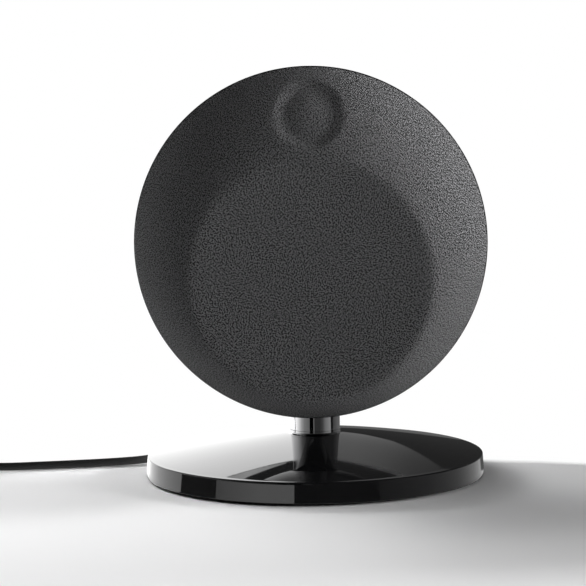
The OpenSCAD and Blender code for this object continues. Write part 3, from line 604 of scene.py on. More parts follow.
class Trees:
    """Geometry node trees with named inputs."""

    @staticmethod
    def start(name: str, **inputs: str) -> Tree:
        """Makes a tree with its sockets.

        Args:
            name: name of the tree.
            inputs: type of each input after the geometry and the material.

        Returns:
            The tree.
        """
        tree = bpy.data.node_groups.new(name, "GeometryNodeTree")
        for label, kind in {"Geometry": "Geometry", "Material": "Material", **inputs}.items():
            tree.interface.new_socket(label, in_out="INPUT", socket_type="NodeSocket" + kind)
        tree.interface.new_socket("Geometry", in_out="OUTPUT", socket_type="NodeSocketGeometry")
        tree.nodes.new("NodeGroupInput").name = "in"
        tree.nodes.new("NodeGroupOutput").name = "out"
        return tree

    @staticmethod
    def apply(name: str, points: Sequence[Vector], tree: Tree, last: Socket, finish: Finish,
              **values: object) -> Piece:
        """Ends a tree, runs it on a set of points and keeps the result as a plain mesh.

        Args:
            name: name of the piece.
            points: points that the tree starts from.
            tree: the tree.
            last: socket with its result.
            finish: finish of the result.
            values: value of each input.

        Returns:
            The piece.
        """
        real = node(tree, "GeometryNodeRealizeInstances", {0: last})
        paint = node(tree, "GeometryNodeSetMaterial", {
            "Geometry": real.outputs[0], "Material": tree.nodes["in"].outputs["Material"]})
        tree.links.new(paint.outputs[0], tree.nodes["out"].inputs[0])
        mesh = bpy.data.meshes.new(name)
        mesh.from_pydata([tuple(p) for p in points], [], [])
        piece = added(name, mesh)
        modifier = piece.modifiers.new("made", "NODES")
        modifier.node_group = tree
        values["Material"] = finish.build()
        for socket in tree.interface.items_tree:
            if socket.name in values:
                modifier[socket.identifier] = values[socket.name]
        evaluated(piece)
        piece.data.materials.clear()
        piece.data.materials.append(finish.build())
        smooth(piece.data)
        return piece

    @classmethod
    def fixings(cls, name: str, points: Sequence[Vector], pattern: Piece, turn: Triple, finish: Finish,
                seed: int) -> Piece:
        """Sets one copy of a screw on each point, each turned by chance about its own axis.

        Args:
            name: name of the piece.
            points: seats of the screws.
            pattern: the screw, which is removed afterwards.
            turn: rotation that points its axis the right way, in radians.
            finish: finish of the screws.
            seed: seed of the chance turns.

        Returns:
            The screws as one piece.
        """
        tree = cls.start("fixings_" + name, Screw="Object", Turn="Rotation", Seed="Int")
        ins = tree.nodes["in"].outputs
        screw = node(tree, "GeometryNodeObjectInfo", {0: ins["Screw"]})
        copies = node(tree, "GeometryNodeInstanceOnPoints", {
            "Points": ins["Geometry"], "Instance": screw.outputs["Geometry"], "Rotation": ins["Turn"]})
        chance = node(tree, "FunctionNodeRandomValue", {"Max": (0.0, 0.0, 2 * math.pi), "Seed": ins["Seed"]},
                      data_type="FLOAT_VECTOR")
        spin = node(tree, "GeometryNodeRotateInstances", {
            0: copies.outputs[0], "Rotation": chance.outputs["Value"], "Local Space": True})
        piece = cls.apply(name, points, tree, spin.outputs[0], finish, Screw=pattern, Turn=turn, Seed=seed)
        bpy.data.objects.remove(pattern)
        return piece

    @classmethod
    def ribs(cls, name: str, start: Vector, count: int, pitch: float, radius: Pair, thickness: float,
             finish: Finish) -> Piece:
        """Makes a row of rings along +Y whose size changes steadily.

        Args:
            name: name of the piece.
            start: centre of the first ring.
            count: number of rings.
            pitch: distance between them.
            radius: radius of the first and the last ring.
            thickness: radius of a ring's section.
            finish: finish of the rings.

        Returns:
            The rings as one piece.
        """
        tree = cls.start("ribs_" + name, Radius="Float", Thickness="Float", Taper="Float", Count="Int")
        ins = tree.nodes["in"].outputs
        ring, section = (node(tree, "GeometryNodeCurvePrimitiveCircle", {"Resolution": sides, "Radius": ins[size]})
                         for sides, size in ((48, "Radius"), (8, "Thickness")))
        sweep = node(tree, "GeometryNodeCurveToMesh", {"Curve": ring.outputs[0], "Profile Curve": section.outputs[0]})
        number = node(tree, "GeometryNodeInputIndex")
        size = ranged(tree, number.outputs[0], (0.0, ins["Count"]), (1.0, ins["Taper"]))
        copies = node(tree, "GeometryNodeInstanceOnPoints", {
            "Points": ins["Geometry"], "Instance": sweep.outputs[0], "Rotation": (math.pi / 2, 0, 0), "Scale": size})
        points = [start + Vector((0, pitch * k, 0)) for k in range(count)]
        return cls.apply(name, points, tree, copies.outputs[0], finish, Radius=radius[0], Thickness=thickness,
                         Taper=radius[1] / radius[0], Count=count - 1)


# Camera and studio


@dataclass(frozen=True)
class Viewpoint:
    """The photograph's camera: place in millimetres, angles in degrees, focal length in pixels."""

    side: float = 22.8
    distance: float = 1150.0
    height: float = 206.2
    focal: float = 2765.6
    frame: float = 586.0
    pitch: float = 6.39
    yaw: float = -1.56
    roll: float = 0.72
    sensor: float = 36.0

    def build(self) -> None:
        """Makes the camera and sets it as the scene's own."""
        data = bpy.data.cameras.new("camera")
        data.sensor_fit = "HORIZONTAL"
        data.sensor_width = self.sensor
        data.lens = self.focal / self.frame * self.sensor
        data.clip_end = 100.0
        pitch, yaw, roll = (math.radians(v) for v in (self.pitch, self.yaw, self.roll))
        ahead = Vector((math.sin(yaw) * math.cos(pitch), math.cos(yaw) * math.cos(pitch), -math.sin(pitch)))
        right = ahead.cross(Vector((0, 0, 1))).normalized()
        up = right.cross(ahead)
        tilted_right = math.cos(roll) * right - math.sin(roll) * up
        tilted_up = math.sin(roll) * right + math.cos(roll) * up
        turn = Matrix((tilted_right, tilted_up, -ahead)).transposed().to_4x4()
        camera = added("camera", data)
        camera.matrix_world = Matrix.Translation(Vector((self.side, -self.distance, self.height)) * MM) @ turn
        bpy.context.scene.camera = camera


def bare_material(name: str) -> tuple[bpy.types.Material, Tree]:
    """Makes a material and its tree without nodes."""
    material = bpy.data.materials.new(name)
    material.use_nodes = True
    material.node_tree.nodes.clear()
    return material, material.node_tree


@dataclass(frozen=True)
class Lamp:
    """A flat lamp that looks at the head and that reflections don't show, in degrees and metres.

    Its azimuth counts from the front, positive to the right, and its level is the brightness of a white face that
    looks straight at it.
    """

    name: str
    azimuth: float
    elevation: float
    distance: float
    size: Pair
    level: float

    def build(self) -> None:
        """Hangs the lamp."""
        data = bpy.data.lights.new(self.name, "AREA")
        data.shape = "RECTANGLE"
        data.size, data.size_y = self.size
        data.energy = self.level * (math.pi * self.distance) ** 2
        lamp = added(self.name, data)
        a, e = math.radians(self.azimuth), math.radians(self.elevation)
        way = Vector((math.sin(a) * math.cos(e), -math.cos(a) * math.cos(e), math.sin(e)))
        turn = way.to_track_quat("Z", "Y").to_matrix().to_4x4()
        lamp.matrix_world = Matrix.Translation(AIM + way * self.distance) @ turn
        lamp.visible_glossy = lamp.visible_camera = False


@dataclass(frozen=True)
class Cards:
    """A round of cards that only reflections show, from a low radius and height to a high one, in metres.

    A stop is an azimuth in degrees from the front, positive to the right, and the brightness there, where 1 is
    white. The brightness runs evenly from stop to stop, and two stops at one azimuth make an edge. Feet, where
    they are given, are the low height at each stop.
    """

    name: str
    start: Pair
    end: Pair
    stops: tuple[Pair, ...]
    feet: tuple[float, ...] = ()
    spans: int = 6

    def material(self) -> bpy.types.Material:
        """Makes the glowing material, which reads its brightness from the mesh."""
        material, tree = bare_material("card_" + self.name)
        level = node(tree, "ShaderNodeAttribute", attribute_name="level")
        glow = node(tree, "ShaderNodeEmission", {"Strength": level.outputs["Fac"]})
        node(tree, "ShaderNodeOutputMaterial", {"Surface": glow.outputs[0]})
        return material

    def build(self) -> None:
        """Makes one mesh with a strip between each two stops."""
        points, faces, levels = [], [], []
        feet = self.feet or (self.start[1],) * len(self.stops)
        for (first, bright, foot), (last, dim, far_foot) in pairwise((*stop, h) for stop, h in zip(self.stops, feet)):
            for k in range(self.spans + 1):
                share = k / self.spans
                a = math.radians(first + (last - first) * share)
                low = foot + (far_foot - foot) * share
                for r, z in ((self.start[0], low), self.end):
                    points.append((r * math.sin(a), -r * math.cos(a), z))
                    levels.append(bright + (dim - bright) * share)
            n = len(points) - 2 * (self.spans + 1)
            faces += [[n + 2 * k, n + 2 * k + 2, n + 2 * k + 3, n + 2 * k + 1] for k in range(self.spans)]
        mesh = bpy.data.meshes.new("card_" + self.name)
        mesh.from_pydata(points, [], faces)
        mesh.attributes.new("level", "FLOAT", "POINT").data.foreach_set("value", levels)
        mesh.materials.append(self.material())
        piece = added("card_" + self.name, mesh)
        piece.visible_camera = piece.visible_diffuse = piece.visible_shadow = False
        piece.visible_transmission = piece.visible_volume_scatter = False


LIFT = 0.0004
NEAR_R = 0.08
WALL_R = 1.6
DUSK_Z = 0.89
RIM_STOPS = ((-180, 2.4), (-99.4, 2.2), (-89.5, 1.47), (-77.3, 1.2), (-57.2, 1.1), (-57.2, 0.06), (-37.9, 0.08),
             (-37.9, 0.62), (-32.6, 0.76), (-19.8, 1.05), (-6.6, 1.05), (-6.6, 0.04), (24.9, 0.03), (24.9, 0.1),
             (46.2, 0.19), (64.7, 0.34), (77.3, 0.51), (93.9, 0.65), (97.6, 0.12), (180, 0.1))
CARDS = (
    Cards("rim_floor", (0.0735, LIFT), (NEAR_R, LIFT), RIM_STOPS),
    Cards("rim_wall", (NEAR_R, LIFT), (NEAR_R, 0.0082), RIM_STOPS),
    Cards("stem_floor", (0.0802, LIFT), (WALL_R, LIFT), (
        (-180, 1.3), (-98, 1.3), (-78, 0.78), (-62, 0.38), (-47, 0.2), (-22, 0.12), (-22, 0.0), (-6, 0.0), (-6, 0.12),
        (-1, 0.12), (-1, 0.03), (23, 0.03), (36, 0.06), (50, 0.17), (77, 0.28), (77, 0.01), (91, 0.01), (91, 0.06),
        (130, 0.13), (180, 0.13))),
    Cards("haze", (WALL_R, LIFT), (WALL_R, DUSK_Z), (
        (-180, 1.85), (-150, 1.8), (-120, 1.2), (-94, 0.8), (-64, 0.2), (-40, 0.04), (0, 0.02), (100, 0.03),
        (150, 0.1), (171, 0.035), (180, 0.035))),
    Cards("crescent", (1.58, 0.0), (1.58, 0.885), (
        (-176, 0.6), (-172.6, 0.85), (-170.5, 0.6), (-166, 0.45), (-150, 0.3)), (0.895, 0.935, 0.99, 1.06, 1.2)),
    Cards("wedge", (1.59, 0.3), (1.59, 0.885), (
        (171, 0.08), (173, 0.12), (175, 0.19), (177, 0.24), (180, 0.26)), (0.70, 0.549, 0.40, 0.318, 0.29)),
    Cards("dusk", (WALL_R, DUSK_Z), (WALL_R, 1.6), (
        (-180, 0.03), (-130, 0.03), (-94, 0.5), (-64, 0.1), (-40, 0.03), (180, 0.03))))
LAMPS = (
    Lamp("key", 98, 14, 1.2, (0.4, 0.3), 3.0), Lamp("key_front", 75, 10, 1.2, (0.4, 0.3), 0.85),
    Lamp("left", -126, 34, 0.72, (0.45, 0.45), 0.5), Lamp("low_left", -130, 14, 0.6, (0.25, 0.12), 0.6),
    Lamp("top", 0, 88, 1.4, (1.0, 1.0), 0.14))


@dataclass
class Studio:
    """Pale floor that fades to white, a white sweep, the lamps with a flag for the key, and the cards."""

    world_level: float = 0.02
    floor_colour: Triple = (0.88, 0.88, 0.885)
    half_width: float = 6.0
    front: float = -4.0
    back: float = 3.0
    sweep_top: float = 4.0
    table_radius: float = 0.40
    table_back: float = 0.045
    fade: float = 0.012
    flag_x: float = 0.45
    flag_foot: float = 0.001
    flag_top: float = 0.2
    flag_front: float = -0.15
    flag_back: float = 0.6

    def pale(self, name: str, fades: bool) -> bpy.types.Material:
        """Makes the pale matt material of the floor or the sweep, plain white for camera and glass rays.

        Args:
            name: name of the material.
            fades: True where it turns white only beyond the round table's edge.

        Returns:
            The material.
        """
        material, tree = bare_material(name)
        diffuse = node(tree, "ShaderNodeBsdfDiffuse", {"Color": (*self.floor_colour, 1)})
        share = 1.0
        if fades:
            place = node(tree, "ShaderNodeTexCoord")
            away = node(tree, "ShaderNodeVectorMath", {
                0: place.outputs["Object"], 1: (0, self.table_back - self.table_radius, 0)}, operation="DISTANCE")
            share = ranged(tree, away.outputs["Value"], (self.table_radius - self.fade, self.table_radius),
                           blend="SMOOTHSTEP")
        rays = node(tree, "ShaderNodeLightPath").outputs
        seen = maths(tree, "MAXIMUM", rays["Is Camera Ray"], rays["Is Transmission Ray"])
        glow = node(tree, "ShaderNodeEmission")
        mix = node(tree, "ShaderNodeMixShader", {
            "Fac": maths(tree, "MULTIPLY", seen, share), 1: diffuse.outputs[0], 2: glow.outputs[0]})
        node(tree, "ShaderNodeOutputMaterial", {"Surface": mix.outputs[0]})
        return material

    def sheet(self, name: str, corners: Sequence[Triple], material: bpy.types.Material) -> Piece:
        """Makes a flat stage sheet from its corners, in metres."""
        mesh = bpy.data.meshes.new(name)
        mesh.from_pydata(list(corners), [], [list(range(len(corners)))])
        mesh.materials.append(material)
        piece = added(name, mesh)
        return piece

    def flag(self) -> None:
        """Stands a flag that keeps the key off the floor at the right, and that nothing shows."""
        x, low, high = self.flag_x, self.flag_foot, self.flag_top
        flag = self.sheet("flag", [(x, self.flag_front, low), (x, self.flag_back, low), (x, self.flag_back, high),
                                   (x, self.flag_front, high)], self.pale("flag_board", False))
        flag.visible_camera = flag.visible_diffuse = flag.visible_glossy = flag.visible_transmission = False

    def world(self) -> None:
        """Makes the dim world, which the camera sees as white."""
        world = bpy.data.worlds.new("studio")
        bpy.context.scene.world = world
        world.use_nodes = True
        tree = world.node_tree
        plain = tree.nodes["Background"]
        plain.inputs["Strength"].default_value = self.world_level
        plain.inputs["Color"].default_value = (1, 1, 1, 1)
        white = node(tree, "ShaderNodeBackground", {"Color": (1, 1, 1, 1), "Strength": 1.0})
        rays = node(tree, "ShaderNodeLightPath")
        mix = node(tree, "ShaderNodeMixShader", {
            "Fac": rays.outputs["Is Camera Ray"], 1: plain.outputs[0], 2: white.outputs[0]})
        tree.links.new(mix.outputs[0], tree.nodes["World Output"].inputs["Surface"])

    def build(self) -> None:
        """Makes the floor, the sweep, the world, the lamps and the cards."""
        bpy.context.scene.view_settings.view_transform = "Standard"
        x, near, far, top = self.half_width, self.front, self.back, self.sweep_top
        self.sheet("floor", [(-x, near, 0), (x, near, 0), (x, far, 0), (-x, far, 0)], self.pale("pale_floor", True))
        self.sheet("backdrop", [(-x, far, 0), (x, far, 0), (x, far, top), (-x, far, top)],
                   self.pale("white_sweep", False))
        self.world()
        for lamp in LAMPS:
            lamp.build()
        self.flag()
        for card in CARDS:
            card.build()


# Lead


@dataclass
class Lead:
    """The loudspeaker lead from its gland over the floor to its coil and plug, in millimetres."""

    radius: float = 1.7
    exit_point: Triple = (0.0, 82.6, 5.1)
    coil_x: float = -176.0
    floor_z: float = 1.8
    coil_z: float = 3.1
    coil_mid: float = 20.4
    pitch: float = 3.95
    turns: int = 13
    layers: int = 4
    climb_share: float = 0.25
    meet_y: float = 14.4
    plug: Triple = (-221.0, 46.4, 5.05)
    steps: int = 48
    path_step: float = 0.0022

    def __post_init__(self) -> None:
        """Works out the coil's own sizes."""
        self.travel = self.pitch * self.turns / self.layers
        self.outer = self.coil_mid + self.travel / 2
        self.coil_y = self.meet_y + self.outer
        self.top = self.coil_z + (self.layers - 1) * self.pitch
        self.per_layer = self.turns / self.layers

    def over_floor(self) -> list[Triple]:
        """Gives the chosen points from the gland to the coil."""
        z = self.floor_z
        return [self.exit_point, (0, 86.6, 5.1), (-2, 94.1, 4.2), (-7.5, 99.6, 2.8), (-15, 101.6, z),
                (-22.5, 101, z), (-30, 98.2, z), (-38, 93.5, z), (-45.5, 87, z), (-52, 79, z), (-57.3, 70, z),
                (-61.5, 60.5, z), (-64.3, 52, z), (-66.2, 46, z), (-68.6, 40.2, z), (-72.2, 34.8, z),
                (-77, 30.8, z), (-84, 27.6, z), (-93, 24.6, z), (-105, 21.6, z), (-118, 18.8, z),
                (-132, 16.3, z), (-146, 14.8, 2.2), (-160, self.meet_y, 2.9),
                (self.coil_x + 4 * self.radius, self.meet_y, self.coil_z),
                (self.coil_x + 2 * self.radius, self.meet_y, self.coil_z)]

    def tail(self) -> list[Triple]:
        """Gives the chosen points from the coil to the plug."""
        return [(self.coil_x - 2 * self.radius, self.meet_y, self.top),
                (self.coil_x - 4 * self.radius, self.meet_y, self.top),
                (-193, self.meet_y + 0.6, 13.4), (-202, self.meet_y + 3, 10.6), (-210, self.meet_y + 7.5, 8),
                (-216, self.meet_y + 14, 6.2), (-220, self.meet_y + 22, 5.3),
                (self.plug[0], self.meet_y + 28, self.plug[2]), self.plug]

    def climb(self, turn: float) -> float:
        """Gives the layer that the coil is in after some turns."""
        near = round(turn / self.per_layer)
        off = turn - near * self.per_layer
        if near < 1 or near > self.layers - 1:
            return float(math.floor(min(turn / self.per_layer, self.layers - 0.001)))
        if abs(off) > self.climb_share:
            return float(near if off > 0 else near - 1)
        return near - 0.5 + off / (2 * self.climb_share)

    def coil(self) -> list[Vector]:
        """Gives points along the coil, from its start to its end, in metres."""
        out = []
        for i in range(self.turns * self.steps + 1):
            turn = i / self.steps
            phase = (turn / self.per_layer) % 2
            r = self.outer - self.travel * (phase if phase < 1 else 2 - phase)
            a = math.radians(-90 - 360 * turn)
            out.append(Vector((self.coil_x + r * math.cos(a), self.coil_y + r * math.sin(a),
                               self.coil_z + self.pitch * self.climb(turn))) * MM)
        return out

    def tie(self) -> Piece:
        """Makes the strap round the far side of the coil, a closed band a little thinner along its bottom."""
        wall, thinner, half, corner = 1.2, 0.15, 4, 2.0
        inside, outside, under, over = 1.1, 0.7, 0.15, 0.3
        near, far = self.coil_mid - self.travel / 2 - self.radius - inside, self.outer + self.radius + outside
        low, high = self.coil_z - self.radius - under, self.top + self.radius + over
        inner = rounded([(near, low), (far, low), (far, high), (near, high)], dict.fromkeys(range(4), corner), 8)
        centre = Vector(((near + far) / 2, (low + high) / 2))
        points, flat = [], []
        laps, run = len(inner), 0.0
        for k, (y, z) in enumerate(inner):
            here, before, after = Vector((y, z)), Vector(inner[k - 1]), Vector(inner[(k + 1) % laps])
            way = (after - before).normalized()
            out_way = Vector((way.y, -way.x))
            if out_way.dot(here - centre) < 0:
                out_way = -out_way
            thick = wall - thinner if z < low + 1 else wall
            for x, lift in ((-half, 0.0), (half, 0.0), (half, thick), (-half, thick)):
                spot = here + out_way * lift
                points.append(Vector((self.coil_x + x, self.coil_y + spot.x, spot.y)) * MM)
                flat.append((run, x * MM))
            run += (after - here).length * MM
        faces = [[v % len(points) for v in face] for face in skin(laps + 1, 4)]
        return outward(flatten(piece_from("lead_strap", points, faces, STRAP), flat))

    def plug_body(self) -> Piece:
        """Makes the plug's moulded body with its tapered relief and grip."""
        radius, relief, shell = 5.0, 14.0, 20.0
        ridges, ridge_pitch, ridge_depth = 14, 0.9, 0.35
        grip = [(radius - (ridge_depth if k % 2 else 0.0), relief + 4 + k * ridge_pitch) for k in range(ridges)]
        profile = rounded([(0, 0), (self.radius + 0.6, 0), (radius - 1.6, relief), (radius, relief + 1.6), *grip,
                           (radius, relief + shell), (0, relief + shell)], {1: 0.4, 18: 0.8})
        return turned("plug_shell", profile, MOULDED, backward(self.plug), sides=96)

    def gland(self) -> None:
        """Makes the gland at the back of the base, with a ribbed boot."""
        inside, neck, collar, flange, root, length = 3.3, 3.0, 3.9, 1.6, 2.7, 10.0
        back, rib_y, rib_pitch, rib_radii, rib_wall = 71, 74.4, 1.3, (2.75, 2.3), 0.38
        profile = rounded([(0, -inside), (neck, -inside), (neck, 0.05), (collar, 0.05), (collar, flange),
                           (root, flange), (self.radius + 0.45, length + flange), (0, length + flange)],
                          {3: 0.2, 4: 0.5, 6: 0.3})
        boot = turned("gland_boot", profile, RUBBER, backward((0, back, self.exit_point[2])), sides=64)
        ribs = Trees.ribs("gland_ribs", Vector((0, rib_y, self.exit_point[2])) * MM, 6, rib_pitch * MM,
                          (rib_radii[0] * MM, rib_radii[1] * MM), rib_wall * MM, RUBBER)
        seat(ribs, Body.BASE, "satin_black")
        seat(boot, Body.BASE, "satin_black", "lead_gland")

    def build(self) -> None:
        path = [*smooth_path(self.over_floor(), self.path_step), *self.coil(),
                *smooth_path(self.tail(), self.path_step)]
        lead = tube_along("speaker_lead", path, self.radius * MM, SHEATH)
        seat(lead, Body.BASE, "lead_sheath", "lead", "lead_coil", "lead_tail")
        tie = seat(self.tie(), Body.BASE, "strap", "lead_tie")
        body = seat(self.plug_body(), Body.BASE, "satin_black", "plug_body")
        self.gland()


# Base and stem


@dataclass
class Base:
    """The round weighted base with its bright ring, in millimetres."""

    radius: float = 71.0
    edge: float = 70.4
    rim: float = 9.6
    crown: float = 18.6
    seat_h: float = 18.4
    ring_r: float = 11.7
    ring_bore: float = 8.3
    ring_top: float = 20.08
    flare: float = 1.05
    flare_top: float = 19.5
    power: float = 1.4
    wall: float = 2.6
    foot: float = 1.0
    cover_r: float = 67.6
    cover_z: float = 2.8
    hub_r: float = 13.0
    hub_z: float = 12.0
    bore: float = 6.05
    bevel: float = 0.35

    def top(self, r: float) -> float:
        """Gives the height of the top at a radius."""
        reach = self.edge - self.bevel
        return self.rim + (self.crown - self.rim) * (1 - (r / reach) ** self.power) \
            / (1 - (self.ring_r / reach) ** self.power)

    def disc(self) -> Piece:
        """Makes the hollow disc with its domed top and sharp but eased rim."""
        reach, inner_rim, spans, under_spans = self.edge - self.bevel, self.edge - self.wall, 60, 12
        foot_ease, rim_ease = 0.3, self.bevel + 0.1
        crown = [(r, self.top(r)) for r in (reach + (self.ring_r - reach) * k / spans for k in range(1, spans + 1))]
        ceiling = [(r, min(self.top(max(r, self.ring_r)), self.seat_h) - self.wall)
                   for r in (self.hub_r + (inner_rim - self.hub_r) * k / under_spans for k in range(under_spans))]
        corners = [(self.cover_r, self.foot), (self.radius, self.foot), (self.edge, self.rim)]
        profile = rounded(corners + crown, {1: foot_ease, 2: rim_ease})
        profile += [(self.bore, self.seat_h), (self.bore, self.hub_z), (self.hub_r, self.hub_z), *ceiling,
                    (inner_rim, self.rim - self.wall), (self.radius - self.wall, self.cover_z),
                    (self.cover_r, self.cover_z)]
        return turned("base_shell", profile, PIANO, upright, sides=256, ring=True, crisp=28)

    def collar(self) -> Piece:
        """Makes the bright ring that flares from the stem's foot."""
        gap = 0.1
        lip = self.ring_r - gap
        profile = [(self.ring_bore, self.seat_h), (lip, self.seat_h),
                   *arc((270 - 11.25 * k for k in range(9)), self.flare, centre=(lip, self.flare_top)),
                   (lip - self.flare, self.ring_top), (self.ring_bore, self.ring_top)]
        return turned("bright_ring", profile, CHROME, upright, ring=True)

    def build(self) -> None:
        """Makes the base's pieces."""
        seat(self.disc(), Body.BASE, "gloss_black", "base_disc")
        seat(self.collar(), Body.BASE, "bright_metal", "foot_collar")


@dataclass
class Stem:
    """The bright sleeve on its post, in millimetres."""

    radius: float = 10.5
    bore: float = 8.05
    foot: float = 20.15
    head: float = 51.1
    foot_ease: float = 0.06
    head_ease: float = 0.4

    def build(self) -> None:
        """Makes the sleeve with eased ends."""
        profile = rounded([(self.bore, self.foot), (self.radius, self.foot), (self.radius, self.head),
                           (self.bore, self.head)], {1: self.foot_ease, 2: self.head_ease})
        seat(turned("bright_sleeve", profile, CHROME, upright, ring=True), Body.STEM, "bright_metal", "stem_sleeve")


# Head


@dataclass
class Shell:
    """The gloss rear shell, a half ellipsoid with a slot for the stem, in millimetres."""

    radius: float = 71.0
    depth: float = 82.0
    wall: float = 3.0
    ledge_r: float = 62.0
    ledge_z: float = -6.8
    ledge_t: float = 2.2
    slot_r: float = 11.3
    slot_front: float = 4.4
    slot_back: float = 2.4
    slot_low: float = 20.0
    ear_in: float = 11.4
    ear_t: float = 4.0
    ear_r: float = 8.0
    ear_foot: float = 43.0
    ear_far_foot: float = 52.5
    hinge_z: float = 60.2167

    def dome(self) -> Piece:
        """Makes the shell before its slot is cut."""
        inner_r, inner_d = self.radius - self.wall, self.depth - self.wall
        step, inner_step, inner_start = 1.25, 2.05, 8
        chamfer, chamfer_h, eases = 0.2, 0.4, {1: 0.55, 2: 0.15}
        outer = arc((90 - step * k for k in range(72)), self.radius, -self.depth)
        mouth = [outer[-1], (self.radius, 0.0), (inner_r + chamfer, 0.0), (inner_r, -chamfer_h)]
        lip = rounded(mouth, eases)[1:]
        inner = arc((inner_start + inner_step * k for k in range(41)), inner_r, -inner_d)
        inner[-1] = (0.0, -inner_d)
        ledge = [(inner_r, self.ledge_z), (self.ledge_r, self.ledge_z), (self.ledge_r, self.ledge_z - self.ledge_t)]
        outer[0] = (0.0, -self.depth)
        return turned("rear_shell", outer + lip + ledge + inner, SHELL, HEAD.on_axis(), sides=224, crisp=30)

    def build(self) -> None:
        """Makes the shell, cuts its slot and gives it its ears."""
        shell = outward(self.dome())
        outline = arc((180 + 7.5 * k for k in range(25)), self.slot_r, centre=(0, -self.slot_front))
        outline += [(-x, self.slot_back - self.slot_front - y) for x, y in outline]
        tool = prism("slot_tool", outline, self.slot_low, self.hinge_z - 2, SHELL, upright)
        seat(cut(shell, tool), Body.HEAD, "gloss_black", "head_shell")
        outline = [(-self.ear_r, self.ear_foot), (self.ear_r, self.ear_far_foot),
                   *arc(range(0, 181, 10), self.ear_r, centre=(0, self.hinge_z))]
        for side, name in ((-1, "left"), (1, "right")):
            near, far = sorted((side * self.ear_in, side * (self.ear_in + self.ear_t)))
            seat(prism("shell_ear_" + name, outline, near, far, SHELL, sideways), Body.HEAD, "gloss_black")


